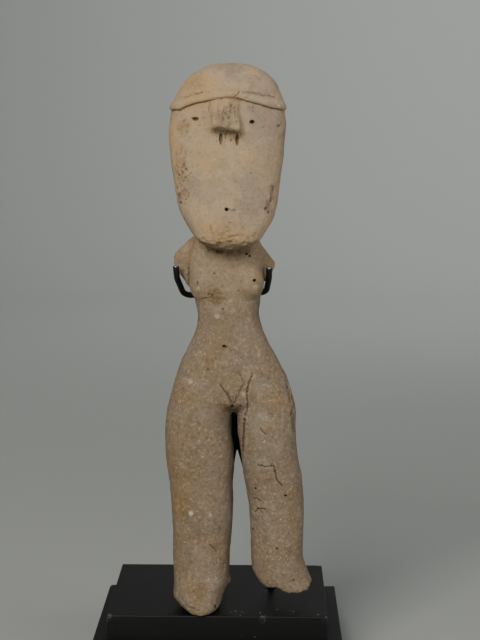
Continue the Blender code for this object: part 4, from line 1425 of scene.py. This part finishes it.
    def part_body(self, skin: ClaySkin, broad: Array) -> None:
        """Mark the body, whose clay is greyer than the head's; the chest is painted paler, as painted light where
        the key falls on it.

        The head starts over the chin's slanting line: level - 0.35 * (y + 24) passes chin_line, with noise.

        Args:
            skin: the surface.
            broad: (n,) noise that makes the line uneven.
        """
        _, along, level = skin.points.T
        head = smooth_step(*self.chin_line, level - 0.35 * (along + 24) + 2 * broad)
        chest = smooth_step(*self.chest_light_line, level)
        # The chest's paler tone is painted light.
        skin.stain("body", (1 - head) * (1 - self.chest_painted_light * chest))

    def dent(self, skin: ClaySkin) -> None:
        """Give the broad unevenness that fingers leave, and the finer one of the scraped surface.

        Args:
            skin: the surface.
        """
        above_sole = smooth_step(0.4, 3.0, skin.points[:, 2])
        height = sum(strength * noise.at(skin.points) for strength, noise in self.dents)
        skin.swell((height + self.shrinkage) * above_sole)

    def roll_lip(self, skin: ClaySkin) -> None:
        """Roll the band's strip round and undercut its lower lip; painted shadow darkens the clay under the lip,
        and a line along the strip's top is darkened too.

        At a share t of the strip's height the roll stands out by lip_roll times 2 * sqrt(t * (1 - t)), and under
        the lip the clay goes back by lip_undercut times exp(-distance / 0.8).

        Args:
            skin: the surface.
        """
        rise = skin.points[:, 2] - self.lip_level(skin.points) + 0.25 * self.lip_waver.at(skin.points)
        left, right = self.nose_sides
        on_nose = (skin.points[:, 0] > left) & (skin.points[:, 0] < right) & (skin.points[:, 1] < self.nose_front)
        where = smooth_step(*self.brow_line, skin.points[:, 2]) * np.where(on_nose, 0.25, 1.0)
        where = where * (0.6 + 0.4 * skin.front) * (0.8 + 0.35 * self.lip_strength.at(skin.points))
        share = np.clip(rise / self.lip_height, 0, 1)
        roll = self.lip_roll * 2 * np.sqrt(share * (1 - share)) * (1.15 - 0.6 * share)
        below = self.lip_undercut * np.exp(-np.maximum(-rise, 0) / 0.8)
        over = smooth_step(-0.12, 0.12, rise)
        skin.swell(where * (over * roll - (1 - over) * below))
        # Painted shadow under the lip, stronger towards the right.
        lip_shadow = where * (0.55 + 0.35 * smooth_step(4.0, 16.0, skin.points[:, 0]))
        skin.stain("soil", 0.5 * lip_shadow * (1 - over) * np.exp(-np.maximum(-rise, 0) / 0.5))
        skin.stain("soil", 0.12 * where * np.exp(-(((rise - self.lip_height) / 0.45) ** 2)))

    def pit(self, skin: ClaySkin, ragged: Array) -> None:
        """Scatter small pits, where temper fell out, all over the clay. A pit is half as deep as its radius.

        Args:
            skin: the surface.
            ragged: (n,) noise that breaks up the pits' rims.
        """
        draw = np.random.default_rng(self.pit_seed)
        centres = skin.points[draw.choice(len(skin.points), self.pit_count, replace=False)]
        sizes = draw.uniform(*self.pit_radius, self.pit_count)
        total = np.zeros(len(skin.points))
        for centre, size in zip(centres, sizes):
            reach = np.linalg.norm(skin.points - centre, axis=1) / size + 0.2 * ragged
            total = np.maximum(total, 0.5 * size * (1 - smooth_step(0.3, 1.0, reach)))
        skin.swell(-total)
        skin.stain("soil", 0.8 * total)

    def hollows(self, figure: bpy.types.Object, skin: ClaySkin) -> Array:
        """Give how far each point's hollow is darkened: dirt, and painted shade as would fall in a crease.

        A point lies in a hollow where the mean of its neighbours stands out from it along its normal. The
        measure is averaged with the neighbours' a few times, so that it follows creases and not single points.

        Args:
            figure: the figure, for its edges.
            skin: the worked surface.

        Returns:
            (n,) shares from 0 to 1.
        """
        ends = edge_ends(figure)
        first, second = ends.T
        count = np.bincount(ends.ravel(), minlength=len(skin.points)).astype(float)

        def neighbour_mean(values: Array) -> Array:
            """Average each point's neighbours."""
            total = np.bincount(first, values[second], len(count)) + np.bincount(second, values[first], len(count))
            return total / np.maximum(count, 1)

        mean = np.stack([neighbour_mean(skin.points[:, axis]) for axis in range(3)], axis=1)
        length = np.linalg.norm(skin.points[second] - skin.points[first], axis=1)
        reach = (np.bincount(first, length, len(count)) + np.bincount(second, length, len(count))) / count
        hollow = np.einsum("ij,ij->i", mean - skin.points, skin.normals) / np.maximum(reach, 1e-6) ** 2
        for _ in range(self.hollow_rounds):
            hollow = (hollow + neighbour_mean(hollow)) / 2
        return self.hollow_shade_strength * smooth_step(*self.hollow_range, hollow)


class Side(Enum):
    """Which rod of the pair it is, as the viewer sees it."""

    LEFT = -1
    RIGHT = 1


@dataclass(frozen=True)
class Rest:
    """A place where the clay lies on the rod, and the direction in which the rod stands off it."""

    x: float
    y: float
    z: float
    out: tuple[float, float, float]


@dataclass(frozen=True)
class CradleRod:
    """One bent rod: from its hole in the base, up behind the figure, to the hook under an arm stub."""

    side: Side
    foot_x: float
    hook: tuple[Rest, ...]
    diameter: float = 2.4
    pair_gap: float = 0.3
    clear_of_clay: float = 0.6
    foot_straight: float = 14.0
    bend_radius: float = 4.5
    fork_x: float = 7.1
    fork_level: float = 59.0
    back_y: float = -0.4
    shoulder_level: float = 123.2
    hole_depth: float = 8.0
    hole_play: float = 0.3
    around: int = 32
    bevel: float = 0.28
    core_share: float = 0.66
    across: tuple[float, float, float] = (0.35, 0.9, 0.25)

    @property
    def name(self) -> str:
        """Give the rod's name, which is also its node's."""
        return f"{self.side.name.lower()}_rod"

    def axis_y(self) -> float:
        """Give y of the rods' axes behind the back."""
        return self.back_y + self.diameter / 2 + self.clear_of_clay

    def hole_tool(self, stand: Stand) -> bpy.types.Object:
        """Make what is drilled out of the block for the rod's foot: a cylinder with play all round.

        Args:
            stand: where the figure stands.

        Returns:
            The tool.
        """
        heights = np.array([-self.hole_depth - self.hole_play, self.foot_straight])
        path = np.stack([np.full(2, self.foot_x), np.full(2, self.axis_y()), heights], axis=1)
        radii = np.full(2, self.diameter / 2 + self.hole_play)
        return mesh_object("hole_tool", [self.swept(path, radii).placed(stand)])

    def corners(self) -> Array:
        """Give the corners of the rod's axis.

        Returns:
            (n, 3) corners, in figure units.
        """
        bar_x = self.fork_x + self.side.value * (self.diameter + self.pair_gap) / 2
        y = self.axis_y()
        route = [
            (self.foot_x, y, -self.hole_depth),
            (self.foot_x, y, self.foot_straight),
            (bar_x, y, self.fork_level),
            (bar_x, y, self.shoulder_level),
        ]
        stand_off = self.diameter / 2 + self.clear_of_clay
        for rest in self.hook:
            out = np.array(rest.out) / np.linalg.norm(rest.out)
            route.append(tuple(np.array([rest.x, rest.y, rest.z]) + out * stand_off))
        return np.array(route, float)

    def axis(self) -> Array:
        """Give the axis as a fine path: straight runs, with an arc of the bend radius at each corner.

        An arc of turn a and radius r starts and ends r * tan(a / 2) from its corner, or less where the runs are
        short, and its points are the weighted sum of its two end radii that a turn at even speed gives.

        Returns:
            (n, 3) places, in figure units.
        """
        corners = self.corners()
        path = [corners[:1]]
        for before, corner, after in zip(corners, corners[1:], corners[2:]):
            back, ahead = before - corner, after - corner
            back_length, ahead_length = np.linalg.norm(back), np.linalg.norm(ahead)
            back, ahead = back / back_length, ahead / ahead_length
            turn = math.pi - math.acos(float(np.clip(back @ ahead, -1, 1)))
            reach = min(self.bend_radius * math.tan(turn / 2), 0.48 * back_length, 0.48 * ahead_length)
            radius = reach / math.tan(turn / 2)
            towards = (back + ahead) / np.linalg.norm(back + ahead)
            centre = corner + towards * math.hypot(reach, radius)
            share = np.linspace(0, 1, max(4, math.ceil(turn / math.radians(7))))[:, None]
            first, last = corner + back * reach - centre, corner + ahead * reach - centre
            arc = centre + (np.sin((1 - share) * turn) * first + np.sin(share * turn) * last) / math.sin(turn)
            path.append(arc)
        path.append(corners[-1:])
        return np.concatenate(path)

    def swept(self, path: Array, radii: Array) -> Shell:
        """Carry a circle along a path: point = place + radius * (cos b * side + sin b * up).

        Side is at right angles to the path and to the direction across, to which no run of the rod is parallel.

        Args:
            path: (n, 3) places.
            radii: (n,) radii there.

        Returns:
            The tube, closed at both ends.
        """
        ahead = np.gradient(path, axis=0)
        ahead /= np.linalg.norm(ahead, axis=1, keepdims=True)
        side = np.cross(ahead, np.array(self.across))
        side /= np.linalg.norm(side, axis=1, keepdims=True)
        up = np.cross(side, ahead)
        turn = np.linspace(0, 2 * math.pi, self.around, endpoint=False)[None, :, None]
        rings = np.cos(turn) * side[:, None, :] + np.sin(turn) * up[:, None, :]
        return ring_shell(path[:, None, :] + rings * radii[:, None, None])

    @staticmethod
    def end_direction(path: Array) -> Array:
        """Give the direction in which a path ends."""
        end = path[-1] - path[-2]
        return end / np.linalg.norm(end)

    def build(self, stand: Stand, coat: bpy.types.Material) -> bpy.types.Object:
        """Build the rod, with its cut end bevelled.

        Args:
            stand: where the figure stands.
            coat: its material.

        Returns:
            The finished piece.
        """
        path = self.axis()
        end = self.end_direction(path)
        path = np.concatenate([path[:-1], [path[-1] - end * self.bevel, path[-1] - end * self.bevel / 4, path[-1]]])
        radii = np.full(len(path), self.diameter / 2)
        radii[-2:] = [self.diameter / 2 - self.bevel * 0.55, self.diameter / 2 - self.bevel]
        rod = mesh_object(f"{self.name}_bent", [self.swept(path, radii).placed(stand)])
        rod.data.materials.append(coat)
        return rod

    def build_tip(self, stand: Stand, steel: bpy.types.Material) -> bpy.types.Object:
        """Build the bare, slightly domed end where the rod was cut.

        Args:
            stand: where the figure stands.
            steel: its material.

        Returns:
            The finished piece.
        """
        path = self.axis()
        steps = np.array([-0.3, 0.02, 0.07, 0.10])
        radii = np.array([1.0, 1.0, 0.8, 0.35]) * self.core_share * self.diameter / 2
        tip = self.swept(path[-1] + steps[:, None] * self.end_direction(path), radii)
        made = mesh_object(f"{self.name}_cut_end", [tip.placed(stand)])
        made.data.materials.append(steel)
        return made


@dataclass(frozen=True)
class Braze:
    """The seam that holds the two rods together above the fork, thicker where it starts and ends."""

    x: float = 7.1
    y: float = 1.3
    low: float = 58.6
    high: float = 122.4
    half_width: float = 0.52
    half_depth: float = 0.62
    blob_width: float = 0.75
    blob_depth: float = 0.55
    bead: float = 0.16
    rings: int = 40

    def build(self, stand: Stand, coat: bpy.types.Material) -> bpy.types.Object:
        """Build the seam: a thin bar in the groove, with a blob at each end and beads along it.

        A blob at a share t of the way from its end adds exp(-(t / 0.05)^2), 0.04 at the upper end, and the beads
        follow a sine of the height.

        Args:
            stand: where the figure stands.
            coat: its material.

        Returns:
            The finished piece.
        """
        heights = np.linspace(self.low, self.high, self.rings)
        along = (heights - self.low) / (self.high - self.low)
        ends = np.exp(-((along / 0.05) ** 2)) + np.exp(-(((1 - along) / 0.04) ** 2))
        bead = self.bead * (0.5 + 0.5 * np.sin(heights * 1.9 + 2 * np.sin(heights * 0.37)))
        widths = self.half_width + self.blob_width * ends + bead
        depths = self.half_depth + self.blob_depth * ends + bead
        sections = tuple(
            Section(z, self.x, self.y, width, depth, depth) for z, width, depth in zip(heights, widths, depths)
        )
        seam = Loft(sections, bottom_dome=1.2, top_dome=1.2, around=24, spacing=0.5, dome_rings=6)
        made = mesh_object("brazed_seam", [seam.shell().placed(stand)])
        made.data.materials.append(coat)
        return made


@dataclass(frozen=True)
class Chip:
    """A knock on a block: which corner or edge point, as shares of its half sizes, how far and how deep."""

    x: float
    y: float
    z: float
    radius: float
    depth: float


@dataclass(frozen=True)
class BaseBlock:
    """One step of the base: a lacquered block with softened edges, knocked at some corners."""

    node: str
    chips: tuple[Chip, ...]
    edge_round: float = 0.5 * MILLIMETRE
    edge_wear: float = 0.04
    knock_wear: float = 1.4
    ragged: Unevenness = Unevenness(3, 0.8 * MILLIMETRE, layers=2)
    cell: float = 2.0 * MILLIMETRE
    arc_cells: int = 5

    def ticks(self, half: float) -> Array:
        """Give the grid positions from -half to half: close together over the round edge, even between.

        Over an edge of rounding r they are half - r * (1 - tan(a)), with a from 0 to an eighth of a turn.

        Args:
            half: half the block's size on one axis.

        Returns:
            The positions, in rising order.
        """
        edge = half - self.edge_round * (1 - np.tan(np.linspace(0, math.pi / 4, self.arc_cells + 1)))
        middle = np.linspace(-half + self.edge_round, half - self.edge_round, max(2, round(2 * half / self.cell)))
        return np.unique(np.round(np.concatenate([-edge, middle, edge]), 9))

    def shell(self, low: Array, high: Array) -> list[Shell]:
        """Give the block's six faces.

        A grid point q of a plain box becomes c + r * (q - c) / |q - c|, where c is q kept within the box that is
        r smaller all round.

        Args:
            low: the block's lowest corner.
            high: its highest corner.

        Returns:
            One open sheet for each face.
        """
        middle, half = (low + high) / 2, (high - low) / 2
        ticks = [self.ticks(size) for size in half]
        sheets = []
        for axis in range(3):
            u, v = (axis + 1) % 3, (axis + 2) % 3
            grid_u, grid_v = np.meshgrid(ticks[u], ticks[v], indexing="ij")
            for side in (-1, 1):
                box = np.empty((*grid_u.shape, 3))
                box[..., u], box[..., v], box[..., axis] = grid_u, grid_v, side * half[axis]
                inner = np.clip(box, -(half - self.edge_round), half - self.edge_round)
                out = box - inner
                out /= np.linalg.norm(out, axis=-1, keepdims=True)
                points = (middle + inner + out * self.edge_round).reshape(-1, 3)
                rows, columns = grid_u.shape
                i, j = np.arange(rows - 1)[:, None] * columns, np.arange(columns - 1)[None, :]
                faces = np.stack([i + j, i + columns + j, i + columns + j + 1, i + j + 1], axis=-1)
                sheets.append(Shell(points, faces.reshape(-1, 4).tolist()))
        return sheets

    def build(self, lacquer: bpy.types.Material) -> bpy.types.Object:
        """Build the block where its node lies, and mark where its lacquer is worn.

        Args:
            lacquer: its material.

        Returns:
            The finished piece.
        """
        low, high = (np.array(corner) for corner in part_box(self.node))
        block = mesh_object(f"{self.node}_lacquered", self.shell(low, high), outward=False)
        work = bmesh.new()
        work.from_mesh(block.data)
        bmesh.ops.remove_doubles(work, verts=work.verts, dist=1e-6)
        bmesh.ops.recalc_face_normals(work, faces=work.faces)
        work.to_mesh(block.data)
        work.free()
        points, worn = self.knock(vertex_places(block), (low + high) / 2, (high - low) / 2)
        block.data.vertices.foreach_set("co", points.ravel())
        store_mark(block, "worn", worn)
        block.data.update()
        block.data.shade_smooth()
        block.data.materials.append(lacquer)
        return block

    def knock(self, points: Array, middle: Array, half: Array) -> tuple[Array, Array]:
        """Push the knocks in, and find where the lacquer is worn.

        Wear falls from edge_wear along the edges to none past 1.1 times their rounding. A knock moves the points
        within its radius towards the block's middle, and bares them.

        Args:
            points: (n, 3) points of the block.
            middle: its middle.
            half: half its sizes.

        Returns:
            The moved points and the (n,) wear, from 0 up.
        """
        near_face = half - np.abs(points - middle)
        second_nearest = np.sort(near_face, axis=1)[:, 1]
        worn = self.edge_wear * (1 - smooth_step(0.25 * self.edge_round, 1.1 * self.edge_round, second_nearest))
        rough = self.ragged.at(points)
        for chip in self.chips:
            corner = middle + half * [chip.x, chip.y, chip.z]
            reach = np.linalg.norm(points - corner, axis=1) / chip.radius + 0.25 * rough
            share = 1 - smooth_step(0.5, 1.0, reach)
            points = points + (middle - corner) / np.linalg.norm(middle - corner) * (chip.depth * share)[:, None]
            worn = np.maximum(worn, self.knock_wear * share)
        return points, worn


@dataclass(frozen=True)
class Crumbs:
    """Crumbs of clay that fell on the base, most of them under the broken foot."""

    count: int = 18
    seed: int = 12
    near: tuple[float, float] = (14.0, -30.5)
    spread: tuple[float, float] = (12.0, 3.4)
    smallest: float = 0.07
    largest: float = 0.18
    clear_of_edge: float = 0.9 * MILLIMETRE
    chalk: float = 0.5

    def build(self, low: Array, high: Array, unit: float, clay: bpy.types.Material) -> bpy.types.Object:
        """Strew the crumbs: each is a small lump with noise on its radius, resting on the block's top.

        Args:
            low: the upper block's lowest corner.
            high: its highest corner.
            unit: metres in one unit of the figure.
            clay: their material.

        Returns:
            All crumbs as one piece.
        """
        draw = np.random.default_rng(self.seed)
        edge = self.clear_of_edge
        ball = Lump(0, 0, 0, 1, 1, 1).shell(rings=5, around=7)
        shells = []
        for _ in range(self.count):
            size = draw.uniform(self.smallest, self.largest) * unit
            radii = size * draw.uniform(0.7, 1.3, 3)
            x, y = np.clip(draw.normal(self.near, self.spread) * unit, low[:2] + edge, high[:2] - edge)
            bumps = 1 + draw.uniform(-0.22, 0.22, (len(ball.points), 1))
            shells.append(Shell(ball.points * bumps * radii + [x, y, high[2] + 0.55 * radii[2]], ball.faces))
        made = mesh_object("fallen_crumbs", shells)
        for name, share in (("body", 1.0), ("chalk", self.chalk)):
            store_mark(made, name, np.full(len(made.data.vertices), share))
        made.data.materials.append(clay)
        return made


@dataclass(frozen=True)
class SoftLight:
    """A square softbox: where it hangs, what it aims at, its size, power and colour."""

    name: str
    place: tuple[float, float, float]
    size: float
    watts: float
    colour: Colour = (1.0, 1.0, 1.0)
    aim: tuple[float, float, float] = (0.0, 0.0, 0.13)

    def hang(self) -> None:
        """Add it to the scene."""
        lamp = bpy.data.lights.new(self.name, "AREA")
        lamp.size, lamp.energy, lamp.color = self.size, self.watts, self.colour
        obj = bpy.data.objects.new(self.name, lamp)
        obj.location = self.place
        obj.rotation_euler = (Vector(self.aim) - Vector(self.place)).to_track_quat("-Z", "Y").to_euler()
        bpy.context.scene.collection.objects.link(obj)


@dataclass(frozen=True)
class Studio:
    """A plain pale sweep, soft light from the upper left, and the camera at the viewing angle."""

    lens: float = 84.4
    sensor: float = 36.0
    camera_place: tuple[float, float, float] = (0.0178, -0.6004, 0.2231)
    turn: float = math.radians(0.92)
    tilt_down: float = math.radians(7.98)
    roll: float = math.radians(0.14)
    sweep_colour: Colour = (0.36, 0.376, 0.357)
    sweep_roughness: float = 0.95
    sweep_half: float = 2.6
    sweep_front: float = -1.6
    sweep_back: float = 1.15
    sweep_bend: float = 0.7
    sweep_top: float = 2.6
    air: Colour = (0.80, 0.83, 0.86)
    air_strength: float = 0.2
    lights: tuple[SoftLight, ...] = (
        SoftLight("key_softbox", (-0.40, -0.98, 0.80), 0.6, 14.0, (1.0, 0.965, 0.905)),
        SoftLight("fill_softbox", (0.98, -0.42, 0.40), 0.9, 4.7, (0.96, 0.98, 1.0)),
        SoftLight("top_softbox", (0.05, 0.1, 1.1), 0.6, 0.8),
        SoftLight("sweep_light", (0.45, 1.0, 0.95), 0.8, 7.6, (1.0, 1.0, 0.985), (0.05, 1.8, 0.4)),
    )

    def sweep(self) -> bpy.types.Object:
        """Make the floor, which bends up into the backdrop: level, then a quarter circle, then upright.

        Returns:
            The sweep.
        """
        turn = np.linspace(0, math.pi / 2, 24)
        y = self.sweep_back + self.sweep_bend * np.sin(turn)
        z = self.sweep_bend * (1 - np.cos(turn))
        y = np.concatenate([[self.sweep_front], y, [y[-1]]])
        z = np.concatenate([[0.0], z, [self.sweep_top]])
        points = np.stack(
            [np.stack([np.full(len(y), side * self.sweep_half), y, z], axis=1) for side in (-1, 1)], axis=1
        )
        start = np.arange(len(y) - 1)[:, None] * 2
        faces = (start + np.array([0, 1, 3, 2])).tolist()
        floor = mesh_object("pale_sweep", [Shell(points.reshape(-1, 3), faces)], outward=False)
        g = Graph("pale_paper", self.sweep_roughness)
        g.shader.inputs["Base Color"].default_value = (*self.sweep_colour, 1.0)
        floor.data.materials.append(g.material)
        return floor

    def set_up(self) -> None:
        """Add the sweep, the air's light, the softboxes and the camera."""
        self.sweep()
        world = bpy.data.worlds.new("studio_air")
        world.use_nodes = True
        background = world.node_tree.nodes["Background"]
        background.inputs[0].default_value = (*self.air, 1.0)
        background.inputs[1].default_value = self.air_strength
        bpy.context.scene.world = world
        for light in self.lights:
            light.hang()
        lens = bpy.data.cameras.new("viewer")
        lens.lens, lens.sensor_width = self.lens, self.sensor
        lens.clip_start = 0.01
        camera = bpy.data.objects.new("viewer", lens)
        level = Matrix.Rotation(self.turn, 4, "Z") @ Matrix.Rotation(math.pi / 2 - self.tilt_down, 4, "X")
        camera.matrix_world = Matrix.Translation(self.camera_place) @ level @ Matrix.Rotation(self.roll, 4, "Z")
        bpy.context.scene.collection.objects.link(camera)
        bpy.context.scene.camera = camera


def report(piece: bpy.types.Object, slot: str, *nodes: str) -> None:
    """Let a piece ride on the object, hide the nodes that it stands for and say which they are.

    Args:
        piece: the finished piece.
        slot: its finish; not used.
        nodes: the nodes that it stands for.
    """
    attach(piece, "root")
    if nodes:
        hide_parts(*nodes)
    LOG.info("%s: %d faces, stands for %s", piece.name, len(piece.data.polygons), ", ".join(nodes) or "no node")


def main() -> None:
    """Load the frame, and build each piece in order."""
    logging.basicConfig(level=logging.INFO, format="%(name)s: %(message)s")
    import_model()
    low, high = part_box("clay_figurine")
    stand = Stand((high.z - low.z) / FIGURE_UNITS_TALL, (0.0, -FIGURE_AHEAD, low.z))

    clay = WeatheredClay().material()
    coat = CoatedRod().material()
    steel = BareSteel().material()
    lacquer = SatinLacquer().material()

    report(Figure().build(stand, clay), "fired_clay", "clay_figurine")
    rods = (
        CradleRod(
            Side.LEFT,
            foot_x=-1.5,
            hook=(
                Rest(-13.0, -4.2, 124.4, (-0.6, 0.1, -0.8)),
                Rest(-16.0, -9.2, 130.8, (-0.3, -0.9, -0.1)),
                Rest(-16.9, -10.9, 135.6, (0.0, -1.0, 0.0)),
            ),
        ),
        CradleRod(
            Side.RIGHT,
            foot_x=21.3,
            hook=(
                Rest(17.6, -4.2, 125.8, (0.6, 0.1, -0.8)),
                Rest(19.2, -8.9, 131.0, (0.3, -0.9, -0.1)),
                Rest(19.8, -10.7, 135.0, (0.0, -1.0, 0.0)),
            ),
        ),
    )
    for rod in rods:
        report(rod.build(stand, coat), "black_rod", rod.name)
        report(rod.build_tip(stand, steel), "black_rod")
    report(Braze().build(stand, coat), "black_rod")

    upper = BaseBlock(
        "upper_block",
        (
            Chip(-1, -1, 1, 1.6 * MILLIMETRE, 0.5 * MILLIMETRE),
            Chip(1, -1, 1, 1.3 * MILLIMETRE, 0.4 * MILLIMETRE),
            Chip(0.42, -1, 1, 0.9 * MILLIMETRE, 0.25 * MILLIMETRE),
            Chip(0.98, 1, 1, 1.0 * MILLIMETRE, 0.3 * MILLIMETRE),
        ),
    )
    lower = BaseBlock(
        "lower_block",
        (
            Chip(-1, 1, 1, 1.2 * MILLIMETRE, 0.4 * MILLIMETRE),
            Chip(1, -1, 1, 1.5 * MILLIMETRE, 0.5 * MILLIMETRE),
            Chip(-1, -1, 1, 1.1 * MILLIMETRE, 0.3 * MILLIMETRE),
        ),
    )
    top_step = upper.build(lacquer)
    for rod in rods:
        cut_with(top_step, rod.hole_tool(stand))
    report(top_step, "satin_black", upper.node)
    report(lower.build(lacquer), "satin_black", lower.node)
    top_low, top_high = (np.array(corner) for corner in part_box("upper_block"))
    report(Crumbs().build(top_low, top_high, stand.unit, clay), "fired_clay")

    Studio().set_up()


if __name__ == "__main__":
    main()
